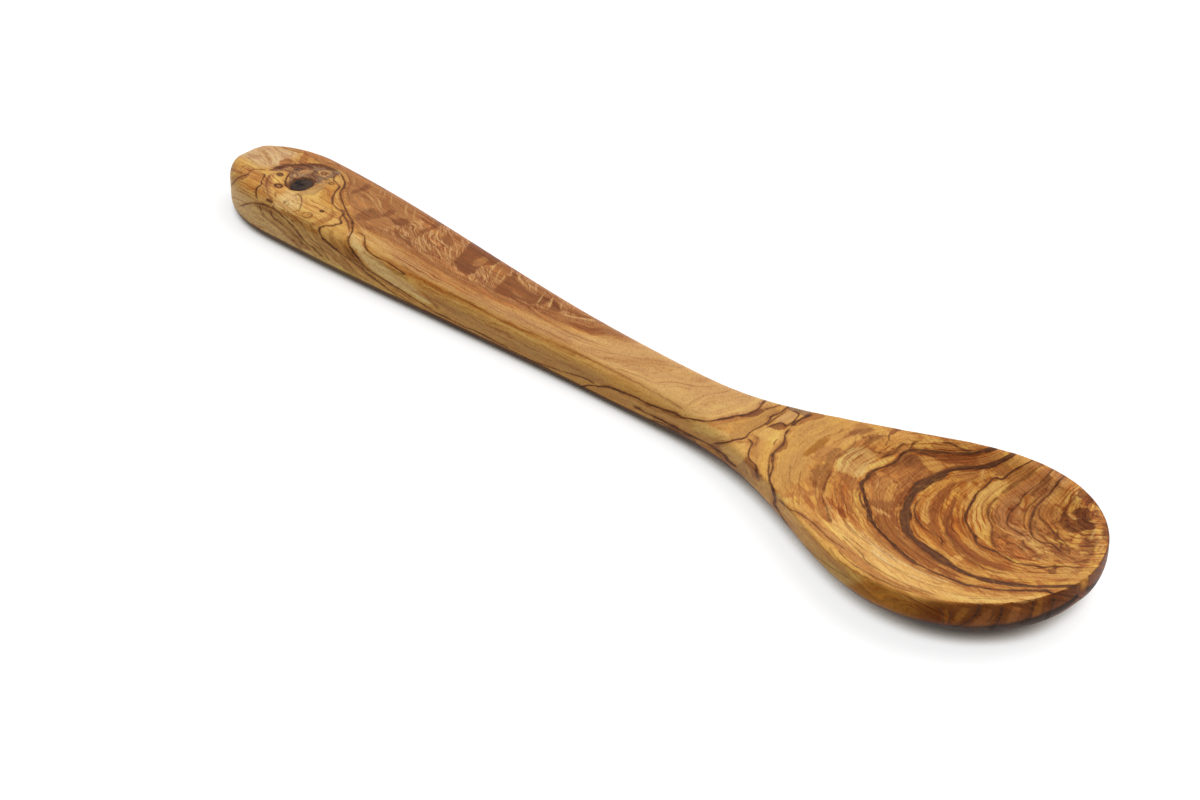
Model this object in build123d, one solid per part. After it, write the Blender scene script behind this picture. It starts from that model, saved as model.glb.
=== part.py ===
from build123d import *
import os
from math import atan2, cos, degrees, hypot, pi, sin, sqrt

# A carved olive-wood cooking spoon, in millimetres. It lies on its underside with its
# length along X, the handle's end at the low X side and the bowl's tip at the high X side.
# +Z is up and the origin is on the table, under the middle of the length.

# Lengths along the spoon
overall_length = 300.0
end_reach = 24.0          # from the handle's end to its widest section
thinnest_reach = 135.0    # from the handle's end to the thinnest section
neck_reach = 165.0        # from the handle's end to the narrowest section
tip_reach = 38.0          # from the bowl's widest section to its tip

# Widths
handle_width = 31.0
neck_width = 18.5
bowl_width = 67.4
end_trim = 0.1            # cut square off the end and the tip, where the outline closes
shoulder_share = 1.4      # above one, the shoulders widen late and close to the bowl

# Heights
handle_thickness = 13.7
neck_thickness = 10.9
tip_height = 15.3
rise_share = 1.9          # above one, the top rises late and close to the tip
neck_lift = 1.8           # daylight under the neck
sole_trim = 0.15          # planed off the underside, so that the spoon lies flat
lift_start_share = 0.9    # where the underside leaves the table, as a share of the neck's reach
lift_top_share = 0.4      # where it is highest, from the neck to the bowl's widest section

# Rounding of the handle and of the bowl's rim
handle_top_round = 4.5
handle_under_round = 4.2
rim_round = 0.8
end_under_round = 6.0     # the handle's end is carved further under than its sides

# The bowl's rounded underside
hull_height = 9.1         # from the table to the foot of the bowl's upright wall, at its sides
tip_wall = 2.6            # the upright wall left at the tip, where the underside sweeps up
hull_share = 0.72         # how much of the half width the underside's rounding takes
keel_share = 0.9          # how far the underside climbs towards the wall's foot at the tip

# The bowl's hollow
land_width = 3.0          # flat left between the hollow and the outline
hollow_length = 76.0
hollow_depth = 8.5
hollow_lift = 3.5         # from the rim up to the middle of the ellipsoid that the hollow follows

# The dead branch knot, a plug of its own wood held in a pocket of the handle
knot_reach = 27.8         # from the handle's end to the knot's middle
knot_offset = 2.5         # from the middle line towards the near side
knot_length = 5.4         # along the spoon
knot_width = 6.8          # across the spoon
knot_depth = 8.0
knot_taper_share = 0.7    # the plug's foot against its top
knot_gap = 0.15           # the bark ring's shrinkage gap round the plug
knot_sink = 0.15          # the plug's top lies this far under the handle's top

# Detail of the build
end_steps = 10            # sections round the handle's end
tip_steps = 14            # sections round the bowl's tip
handle_steps = 7          # sections from the handle's end to the neck
shoulder_steps = 12       # sections from the neck to the bowl's widest section
overrun = 5.0             # how far cutters run past what they cut

# Worked out from the sizes above
widest_reach = overall_length - tip_reach
quarter_turn = pi / 2
arc_handle_share = 4 / 3 * (sqrt(2) - 1)   # a cubic's handles that draw a quarter ellipse


def ease(share):
    """Go from 0 to 1 with level ends."""
    held = min(max(share, 0), 1)
    return held * held * (3 - 2 * held)


def blend(start, finish, share):
    return start + (finish - start) * share


def quarter_round(share):
    """Depth of a quarter circle of size 1, from 1 where it starts to 0 where it ends."""
    held = min(max(share, 0), 1)
    return 1 - sqrt(1 - (1 - held) ** 2)


def half_width(reach):
    """Half of the spoon's width, seen from above, at a distance from the handle's end."""
    if reach < end_reach:
        share = 1 - (reach + end_trim) / (end_reach + end_trim)
        half = handle_width / 2 * sqrt(1 - share * share)
    elif reach < neck_reach:
        share = ease((reach - end_reach) / (neck_reach - end_reach))
        half = blend(handle_width, neck_width, share) / 2
    elif reach < widest_reach:
        share = ((reach - neck_reach) / (widest_reach - neck_reach)) ** shoulder_share
        half = blend(neck_width, bowl_width, ease(share)) / 2
    else:
        share = (reach - widest_reach) / (tip_reach + end_trim)
        half = bowl_width / 2 * sqrt(1 - share * share)
    return half


def crest_height(reach):
    """Height of the handle's top and of the bowl's rim, before the end is rounded."""
    if reach < thinnest_reach:
        share = ease((reach - end_reach) / (thinnest_reach - end_reach))
        return blend(handle_thickness, neck_thickness, share)
    share = (reach - thinnest_reach) / (overall_length - thinnest_reach)
    return blend(neck_thickness, tip_height, share ** rise_share)


def top_height(reach):
    rounding = quarter_round((reach + end_trim) / (handle_top_round + end_trim))
    return crest_height(reach) - handle_top_round * rounding


def bowl_share(reach):
    """0 on the handle and 1 on the bowl, with a soft change over the shoulders."""
    return ease((reach - neck_reach) / (widest_reach - neck_reach))


def hull_foot(reach):
    """Height of the foot of the bowl's upright wall, which climbs towards the tip."""
    share = max(reach - widest_reach, 0) / tip_reach
    return blend(hull_height, tip_height - tip_wall, share * share)


def keel_height(reach):
    """Height of the underside along the middle line, before it is planed flat."""
    lift_start = neck_reach * lift_start_share
    lift_top = blend(neck_reach, widest_reach, lift_top_share)
    if reach < lift_start:
        rise = end_under_round * quarter_round((reach + end_trim) / (end_under_round + end_trim))
    elif reach < lift_top:
        rise = neck_lift * ease((reach - lift_start) / (lift_top - lift_start))
    elif reach < widest_reach:
        rise = neck_lift * ease((widest_reach - reach) / (widest_reach - lift_top))
    else:
        keel_end = overall_length - hull_share * tip_reach
        share = 1 - (reach - keel_end) / (overall_length - keel_end)
        rise = keel_share * hull_foot(reach) * quarter_round(share)
    return rise - sole_trim


def top_round(reach):
    """Radius between the top and the side wall, small where the outline closes."""
    radius = blend(handle_top_round, rim_round, ease(2 * bowl_share(reach)))
    half = half_width(reach)
    return radius * half / hypot(half, radius)


def under_round(reach):
    """Width and height of the rounding between the side wall and the underside."""
    half = half_width(reach)
    side_radius = handle_under_round * half / hypot(half, handle_under_round)
    width = blend(side_radius, hull_share * half, bowl_share(reach))
    hull_rise = hull_foot(reach) - keel_height(reach)
    height = blend(side_radius, hull_rise, bowl_share(reach))
    return width, height


def quarter_ellipse(start, corner, finish):
    """A cubic curve from start to finish that bends round an inner corner's square."""
    leave = start + (corner - start) * arc_handle_share
    arrive = finish + (corner - finish) * arc_handle_share
    return Bezier(start, leave, arrive, finish)


def section(reach):
    """The spoon's closed outline across its length: top, two walls and underside."""
    half = half_width(reach)
    top = top_height(reach)
    keel = keel_height(reach)
    radius = top_round(reach)
    under_width, under_height = under_round(reach)
    place = reach - overall_length / 2

    def point(side, out, up):
        return Vector(place, side * out, up)

    edges = [Line(point(-1, half - radius, top), point(1, half - radius, top))]
    for side in (1, -1):
        rounded_top = quarter_ellipse(
            point(side, half - radius, top), point(side, half, top), point(side, half, top - radius)
        )
        wall = Line(point(side, half, top - radius), point(side, half, keel + under_height))
        rounded_foot = quarter_ellipse(
            point(side, half, keel + under_height),
            point(side, half, keel),
            point(side, half - under_width, keel),
        )
        edges += [rounded_top, wall, rounded_foot]
    edges.append(Line(point(1, half - under_width, keel), point(-1, half - under_width, keel)))
    return Wire(edges)


def carved_blank():
    """The spoon's outside in three lofts: the handle's end, the shaft with the shoulders, the tip."""
    end = [end_reach * (1 - cos(quarter_turn * step / end_steps)) for step in range(end_steps + 1)]
    shaft = [blend(end_reach, neck_reach, step / handle_steps) for step in range(handle_steps)]
    shaft += [blend(neck_reach, widest_reach, step / shoulder_steps) for step in range(shoulder_steps + 1)]
    tip = [widest_reach + tip_reach * sin(quarter_turn * step / tip_steps) for step in range(tip_steps + 1)]
    lofts = [Solid.make_loft([section(reach) for reach in places]) for places in (end, shaft, tip)]
    return lofts[0] + lofts[1] + lofts[2]


def hollow_cutter():
    """The ellipsoid whose lower part is the bowl's hollow, tilted with the rim."""
    middle = overall_length - land_width - hollow_length / 2
    near_end = middle - hollow_length / 2
    rim = crest_height(middle)
    rim_climb = crest_height(overall_length - land_width) - crest_height(near_end)
    tilt = degrees(atan2(rim_climb, hollow_length))
    down = hollow_depth + hollow_lift
    spread = sqrt(1 - (hollow_lift / down) ** 2)
    along = hollow_length / 2 / spread
    across = (bowl_width / 2 - land_width) / spread
    ellipsoid = scale(Sphere(1), by=(along, across, down))
    return Pos(middle - overall_length / 2, 0, rim + hollow_lift) * Rot(0, -tilt, 0) * ellipsoid


def knot_plug(margin, top):
    """A tapered plug of the knot's size plus a margin, from the pocket's floor up to a height."""
    floor = crest_height(knot_reach) - knot_depth
    height = top - floor
    length = knot_length / 2 + margin
    width = knot_width / 2 + margin
    grown = blend(knot_taper_share, 1, height / knot_depth)
    foot = Ellipse(length * knot_taper_share, width * knot_taper_share)
    head = Pos(0, 0, height) * Ellipse(length * grown, width * grown)
    place = Pos(knot_reach - overall_length / 2, -knot_offset, floor)
    return place * loft([foot.face(), head.face()])


def spoon_body():
    below_table = Pos(0, 0, -overrun) * Box(2 * overall_length, 2 * bowl_width, 2 * overrun)
    blank = carved_blank() - below_table
    pocket = knot_plug(knot_gap, crest_height(knot_reach) + overrun)
    return blank - hollow_cutter() - pocket


def dead_knot():
    return knot_plug(0, crest_height(knot_reach) - knot_sink)


os.makedirs("parts", exist_ok=True)
export_step(spoon_body(), "parts/spoon_body.step")
export_step(dead_knot(), "parts/dead_knot.step")
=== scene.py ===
import bpy
import numpy as np
from mathutils import Matrix, Vector


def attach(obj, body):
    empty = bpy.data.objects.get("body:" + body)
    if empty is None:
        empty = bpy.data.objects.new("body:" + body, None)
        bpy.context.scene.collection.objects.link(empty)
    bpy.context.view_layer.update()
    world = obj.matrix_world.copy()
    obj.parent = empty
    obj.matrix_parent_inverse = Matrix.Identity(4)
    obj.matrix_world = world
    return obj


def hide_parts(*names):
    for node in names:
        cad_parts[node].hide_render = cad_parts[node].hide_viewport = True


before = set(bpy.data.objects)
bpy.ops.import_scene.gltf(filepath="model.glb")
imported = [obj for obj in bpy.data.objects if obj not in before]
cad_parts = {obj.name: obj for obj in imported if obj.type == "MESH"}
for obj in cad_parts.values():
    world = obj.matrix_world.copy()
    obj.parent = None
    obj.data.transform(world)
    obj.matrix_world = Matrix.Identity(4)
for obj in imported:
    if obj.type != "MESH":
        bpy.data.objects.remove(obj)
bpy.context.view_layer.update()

# The wooden spoon's looks. Sizes of the body are in millimetres, as in the part's source, and
# become metres when a mesh is made. The figure of the olive wood is laid out on a flat map at
# the height of the top: s runs along the spoon from the handle's end, and t runs across it, both
# in millimetres. Its points were placed against the photo, flattened to that height through the
# fitted camera. Below the top the figure follows straight lines that meet where that camera
# stood, so that it falls where the photo shows it on the near wall and in the hollow. The lines
# are fixed to the spoon and don't follow the view.

MM = 0.001
QUARTER = np.pi / 2

# The body's sizes, as in the part's source
LENGTH = 300.0
END_REACH, THINNEST_REACH, NECK_REACH, TIP_REACH = 24.0, 135.0, 165.0, 38.0
WIDEST_REACH = LENGTH - TIP_REACH
HANDLE_WIDTH, NECK_WIDTH, BOWL_WIDTH = 31.0, 18.5, 67.4
END_TRIM, SHOULDER_SHARE = 0.1, 1.4
HANDLE_THICKNESS, NECK_THICKNESS, TIP_HEIGHT, RISE_SHARE = 13.7, 10.9, 15.3, 1.9
NECK_LIFT, LIFT_START_SHARE, LIFT_TOP_SHARE, SOLE_TRIM = 1.8, 0.9, 0.4, 0.15
TOP_ROUND, UNDER_ROUND, RIM_ROUND, END_UNDER_ROUND = 4.5, 4.2, 0.8, 6.0
HULL_HEIGHT, TIP_WALL, HULL_SHARE, KEEL_SHARE = 9.1, 2.6, 0.72, 0.9
LAND, HOLLOW_LENGTH, HOLLOW_DEPTH, HOLLOW_LIFT = 3.0, 76.0, 8.5, 3.5
KNOT_REACH, KNOT_OFFSET, KNOT_LENGTH, KNOT_WIDTH = 27.8, 2.5, 5.4, 6.8

# The finish that the visual model adds
NO_HOLLOW = 5                             # stands for no hollow, above the ellipsoid's middle
EDGE_AT_NECK, EDGE_AT_TIP = 1.6, 0.35     # softness of the hollow's edge
EDGE_START, EDGE_RUN = 225, 50            # where that softness changes
TOP_BAND = 1.5                            # what is done to the top fades out this far below it
MOUTH_DEPTH, PLUG_BED_DEPTH, DISH_DEPTH = 0.22, 0.5, 0.12   # round the knot and below it
UNEVEN_TOP, UNEVEN_SIDE = 0.22, 0.006     # the second is a share of the half width
UNEVEN_FADE = 6                           # the unevenness fades out this close to both ends
WAVE_SIZES = (37.0, 21.0, 12.5, 8.0)

# Points of the mesh round each section. The near side, which the photo shows, has more.
TOP_POINTS, ARRIS_POINTS, SOLE_POINTS = 96, 7, 24
NEAR_WALL, NEAR_FOOT, FAR_WALL, FAR_FOOT = 8, 20, 4, 10
TOP_CROWDING = 0.06

# Where the figure's lines meet, a few millimetres from the place of the photo's camera: along
# the spoon from its middle, across it towards the near side, and up from its top
FAN_ALONG, FAN_ACROSS, FAN_UP = 514.0, 539.0, 484.0


def ease(share):
    held = np.clip(share, 0, 1)
    return held * held * (3 - 2 * held)


def blend(start, finish, share):
    return start + (finish - start) * share


def quarter_round(share):
    held = np.clip(share, 0, 1)
    return 1 - np.sqrt(1 - (1 - held) ** 2)


def half_width(reach):
    end = 1 - (reach + END_TRIM) / (END_REACH + END_TRIM)
    end_half = HANDLE_WIDTH / 2 * np.sqrt(np.clip(1 - end * end, 0, 1))
    narrowing = ease((reach - END_REACH) / (NECK_REACH - END_REACH))
    shaft_half = blend(HANDLE_WIDTH, NECK_WIDTH, narrowing) / 2
    shoulder = np.clip((reach - NECK_REACH) / (WIDEST_REACH - NECK_REACH), 0, 1)
    shoulder_half = blend(NECK_WIDTH, BOWL_WIDTH, ease(shoulder**SHOULDER_SHARE)) / 2
    tip = (reach - WIDEST_REACH) / (TIP_REACH + END_TRIM)
    tip_half = BOWL_WIDTH / 2 * np.sqrt(np.clip(1 - tip * tip, 0, 1))
    stretches = [reach < END_REACH, reach < NECK_REACH, reach < WIDEST_REACH]
    return np.select(stretches, [end_half, shaft_half, shoulder_half], tip_half)


def crest_height(reach):
    thinning = ease((reach - END_REACH) / (THINNEST_REACH - END_REACH))
    handle = blend(HANDLE_THICKNESS, NECK_THICKNESS, thinning)
    rise = np.clip((reach - THINNEST_REACH) / (LENGTH - THINNEST_REACH), 0, None) ** RISE_SHARE
    return np.where(reach < THINNEST_REACH, handle, blend(NECK_THICKNESS, TIP_HEIGHT, rise))


def top_height(reach):
    rounding = quarter_round((reach + END_TRIM) / (TOP_ROUND + END_TRIM))
    return crest_height(reach) - TOP_ROUND * rounding


def bowl_share(reach):
    return ease((reach - NECK_REACH) / (WIDEST_REACH - NECK_REACH))


def hull_foot(reach):
    share = np.clip(reach - WIDEST_REACH, 0, None) / TIP_REACH
    return blend(HULL_HEIGHT, TIP_HEIGHT - TIP_WALL, share * share)


def keel_height(reach):
    lift_start = NECK_REACH * LIFT_START_SHARE
    lift_top = blend(NECK_REACH, WIDEST_REACH, LIFT_TOP_SHARE)
    end = END_UNDER_ROUND * quarter_round((reach + END_TRIM) / (END_UNDER_ROUND + END_TRIM))
    rise = NECK_LIFT * ease((reach - lift_start) / (lift_top - lift_start))
    fall = NECK_LIFT * ease((WIDEST_REACH - reach) / (WIDEST_REACH - lift_top))
    keel_end = LENGTH - HULL_SHARE * TIP_REACH
    tip_share = 1 - (reach - keel_end) / (LENGTH - keel_end)
    tip = KEEL_SHARE * hull_foot(reach) * quarter_round(tip_share)
    stretches = [reach < lift_start, reach < lift_top, reach < WIDEST_REACH]
    return np.select(stretches, [end, rise, fall], tip) - SOLE_TRIM


def hollow_height(reach, y):
    """Height of the ellipsoid's lower side, tilted with the rim, or far up where it has none."""
    middle = LENGTH - LAND - HOLLOW_LENGTH / 2
    near_end = middle - HOLLOW_LENGTH / 2
    climb = crest_height(np.array(LENGTH - LAND)) - crest_height(np.array(near_end))
    tilt = np.arctan2(climb, HOLLOW_LENGTH)
    down = HOLLOW_DEPTH + HOLLOW_LIFT
    spread = np.sqrt(1 - (HOLLOW_LIFT / down) ** 2)
    long, wide = HOLLOW_LENGTH / 2 / spread, (BOWL_WIDTH / 2 - LAND) / spread
    level = crest_height(np.array(middle)) + HOLLOW_LIFT
    along, turn, rise = reach - middle, np.cos(tilt), np.sin(tilt)
    # the height h above its middle is the lower root of square * h**2 + cross * h + rest = 0
    square = rise**2 / long**2 + turn**2 / down**2
    cross = 2 * along * turn * rise * (1 / long**2 - 1 / down**2)
    rest = along**2 * (turn**2 / long**2 + rise**2 / down**2) + y**2 / wide**2 - 1
    inside = cross**2 - 4 * square * rest
    lower = level - (cross + np.sqrt(np.clip(inside, 0, None))) / (2 * square)
    return np.where(inside > 0, lower, level + NO_HOLLOW)


def soft_lower(a, b, soft):
    """The lower of two heights, with the corner between them rounded."""
    share = np.clip(0.5 + 0.5 * (b - a) / soft, 0, 1)
    return blend(b, a, share) - soft * share * (1 - share)


def waves(seed, *places):
    """Smooth unevenness between 0 and 1, from a few sine waves, as left by rasp and sandpaper."""
    dice = np.random.default_rng(seed)
    total = 0
    for size in WAVE_SIZES:
        phase = dice.uniform(0, 2 * np.pi)
        for place in places:
            phase = phase + place * 2 * np.pi / (size * dice.uniform(0.8, 1.25))
        total = total + np.sin(phase) * size / sum(WAVE_SIZES)
    return 0.5 + 0.5 * total


def run(start, finish, count):
    return np.linspace(start, finish, count, endpoint=False)


def joined(parts):
    return (np.concatenate([part[axis] for part in parts], axis=1) for axis in (0, 1))


def outline(reach):
    """The closed outline across each station, from the far arris over the top and round below."""
    reach = reach[:, None]
    half, top, keel = half_width(reach), top_height(reach), keel_height(reach)
    radius = blend(TOP_ROUND, RIM_ROUND, ease(2 * bowl_share(reach)))
    radius = radius * half / np.hypot(half, radius)
    side = UNDER_ROUND * half / np.hypot(half, UNDER_ROUND)
    under = blend(side, HULL_SHARE * half, bowl_share(reach))
    belly = blend(side, hull_foot(reach) - keel, bowl_share(reach))

    across = run(-1, 1, TOP_POINTS)[None]
    across = across + TOP_CROWDING * np.sin(across * np.pi)
    parts = [(-(half - radius) * across, top * np.ones_like(across))]
    for sign, wall, foot in ((-1, NEAR_WALL, NEAR_FOOT), (1, FAR_WALL, FAR_FOOT)):
        bend = run(0, QUARTER, ARRIS_POINTS)[None]
        width, height = half - radius + radius * np.sin(bend), top - radius + radius * np.cos(bend)
        rounded = (sign * width, height)
        drop = run(0, 1, wall)[None]
        upright = (sign * half * np.ones_like(drop), blend(top - radius, keel + belly, drop))
        bend = run(0, QUARTER, foot)[None]
        width, height = half - under + under * np.cos(bend), keel + belly - belly * np.sin(bend)
        turned = (sign * width, height)
        if sign < 0:
            share = run(-1, 1, SOLE_POINTS)[None]
            sole = ((half - under) * share, keel * np.ones_like(share))
            parts += [rounded, upright, turned, sole]
        else:
            # the far side is walked upwards, so its runs are reversed
            ys, zs = joined([rounded, upright, turned, (half - under, keel)])
            parts.append((ys[:, :0:-1], zs[:, :0:-1]))
    y, z = joined(parts)
    return reach * np.ones_like(y), y, z


# The mesh's points, station by station along the spoon
stations = np.concatenate(
    [
        END_REACH * (1 - np.cos(run(0, QUARTER, 64))),
        run(END_REACH, 50, 66),
        run(50, 190, 176),
        run(190, WIDEST_REACH, 140),
        WIDEST_REACH + TIP_REACH * np.sin(np.linspace(0, QUARTER, 100)),
    ]
)
reach, y, z = outline(stations)
on_top = ease(1 - (top_height(reach) - z) / TOP_BAND)

# the hollow, crisp at the tip and soft towards the neck
soft_edge = blend(EDGE_AT_NECK, EDGE_AT_TIP, ease((reach - EDGE_START) / EDGE_RUN))
z = np.where(on_top > 0, soft_lower(z, hollow_height(reach, y), soft_edge), z)

# the pocket's mouth, the bed below the plug and a shallow dish round them
along, across = (reach - KNOT_REACH) / (KNOT_LENGTH / 2), (y + KNOT_OFFSET) / (KNOT_WIDTH / 2)
knot_out = np.hypot(along, across)
mouth = MOUTH_DEPTH * ease((1.07 - knot_out) / 0.1)
plug_bed = PLUG_BED_DEPTH * ease((0.95 - knot_out) / 0.15)
dish = DISH_DEPTH * np.exp(-(((knot_out - 1) / 0.5) ** 2))
z = z - (mouth + plug_bed + dish) * on_top

# hand-made unevenness, always inwards
fade = ease(reach / UNEVEN_FADE) * ease((LENGTH - reach) / UNEVEN_FADE)
wall_share = np.clip(np.abs(y) / np.maximum(half_width(reach), 0.1), 0, 1) ** 3
lower = UNEVEN_TOP * waves(5, reach, 1.7 * y) * on_top * fade
narrower = UNEVEN_SIDE * waves(8, reach, 1.3 * z) * wall_share * fade
y, z = y * (1 - narrower), np.maximum(z - lower, 0)

# painted shade on the turn into the underside: the surface is darkened where it faces down towards
# the floor
step_y, step_z = (np.roll(each, -1, axis=1) - np.roll(each, 1, axis=1) for each in (y, z))
down = step_y / np.maximum(np.hypot(step_y, step_z), 1e-6)
turn_shade_start = blend(0.12, 0.42, bowl_share(reach))
turn_painted_shade = ease((down - turn_shade_start) / 0.16) * (1 - ease((down - 0.88) / 0.1))

# the map's place of every point: where its line crosses the height of the top
depth = crest_height(reach) - z
s_map = reach + (FAN_ALONG - (reach - LENGTH / 2)) / FAN_UP * depth
t_map = y - (FAN_ACROSS + y) / FAN_UP * depth
places = np.stack([s_map.ravel(), t_map.ravel()], axis=1)
order = np.argsort(places[:, 0])
sorted_s = places[order, 0]


# Tools for drawing the figure. A line is an array of places on the map.


def smooth_line(points, step=1.1, closed=False):
    """A curve through given points, as short straight steps."""
    points = np.array(points, float)
    if closed:
        padded = np.concatenate([points[-1:], points, points[:2]])
    else:
        before, after = 2 * points[:1] - points[1:2], 2 * points[-1:] - points[-2:-1]
        padded = np.concatenate([before, points, after])
    steps = []
    for a, b, c, d in zip(padded, padded[1:], padded[2:], padded[3:]):
        share = run(0, 1, max(1, int(np.ceil(np.hypot(*(c - b)) / step))))[:, None]
        curve = 2 * b + (c - a) * share + (2 * a - 5 * b + 4 * c - d) * share**2
        steps.append(0.5 * (curve + (3 * b - a - 3 * c + d) * share**3))
    steps.append(padded[-2:-1])
    return np.concatenate(steps)


def near(line, room):
    """Distance to a line, its side (positive to the right of its run) and the share along it."""
    distance = np.full(len(places), 1e6)
    side = np.ones(len(places))
    share = np.zeros(len(places))
    sizes = np.hypot(*(line[1:] - line[:-1]).T)
    starts = np.concatenate([[0], np.cumsum(sizes)])
    for a, b, size, start in zip(line[:-1], line[1:], sizes, starts):
        if size == 0:
            continue
        first = np.searchsorted(sorted_s, min(a[0], b[0]) - room)
        last = np.searchsorted(sorted_s, max(a[0], b[0]) + room)
        chosen = order[first:last]
        away = places[chosen] - a
        way = (b - a) / size
        onto = np.clip(away @ way, 0, size)
        gap = away - onto[:, None] * way
        far = np.hypot(gap[:, 0], gap[:, 1])
        closer = far < distance[chosen]
        picked = chosen[closer]
        distance[picked] = far[closer]
        side[picked] = np.where(away[closer, 0] * way[1] - away[closer, 1] * way[0] > 0, 1, -1)
        share[picked] = (start + onto[closer]) / starts[-1]
    return distance, side, share


def inside(line):
    """Which places lie inside a closed line."""
    px, py = places.T
    within = np.zeros(len(places), bool)
    for (ax, ay), (bx, by) in zip(line, np.roll(line, -1, axis=0)):
        if ay != by:
            crosses = ((ay > py) != (by > py)) & (px < (bx - ax) * (py - ay) / (by - ay) + ax)
            within ^= crosses
    return within


def depth_inside(points, room):
    """Distance to the edge of an area, positive inside it."""
    line = smooth_line(points, 2.0, closed=True)
    distance, _, _ = near(line, room)
    return np.where(inside(line), distance, -distance)


def zone_share(soft, points):
    """1 inside an area and 0 outside it, with an edge of the given softness."""
    return ease(0.5 + 0.5 * depth_inside(points, soft + 1) / soft)


def clearance(one, other):
    """The least distance between the points of two lines."""
    return np.hypot(*(one[:, None] - other[None]).transpose(2, 0, 1)).min()


def linear(colour):
    """The linear value of a colour written as on screen, such as #d8a056."""
    value = np.array([int(colour[i : i + 2], 16) for i in (1, 3, 5)]) / 255
    return np.where(value <= 0.04045, value / 12.92, ((value + 0.055) / 1.055) ** 2.4)


PIGMENT_GAIN, SHEEN_WHITE = 1.03, (0.018, 0.013, 0.0045)


def pigment(colour):
    """The colour under the satin finish, whose sheen adds a little white."""
    return np.clip(linear(colour) * PIGMENT_GAIN - SHEEN_WHITE, 0.002, 1)


# The figure's pigments, written as on screen
CREAM, STRAW, GOLD, HONEY = "#f0ca8a", "#e6b466", "#d8a056", "#cc9046"
WHEAT, TAN, FAWN, BISQUE = "#deb06c", "#d4a368", "#c08c56", "#d9b080"
AMBER, CLAY, RUST, CHESTNUT, UMBER = "#ba8046", "#b07a48", "#a36838", "#84502c", "#5f3519"
SMOKE, OLIVE, OCHRE = "#957658", "#c09058", "#b4792f"
# the ember pigment is dark end grain and partly painted shade, for the wall at the tip
GILT, BRONZE, EMBER_AND_SHADE, BARK = "#e6ae60", "#a2681e", "#6a3412", "#6f5030"
BUTTER, FLAX, PEACH, SAND = "#eebc6e", "#e2bc78", "#e2ba8a", "#dab27e"
CARAMEL, BRASS, HAZEL, TOFFEE, ALMOND = "#cd9955", "#c9a459", "#c39361", "#c18e4e", "#c08c59"
GINGER, SORREL, COPPER, MAROON = "#a86c2c", "#98602f", "#98592c", "#96582c"
SIENNA, RUSSET, COCOA, SPECK, CHAR = "#94582e", "#8e542c", "#7c4a26", "#4b3422", "#4a3828"

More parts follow.
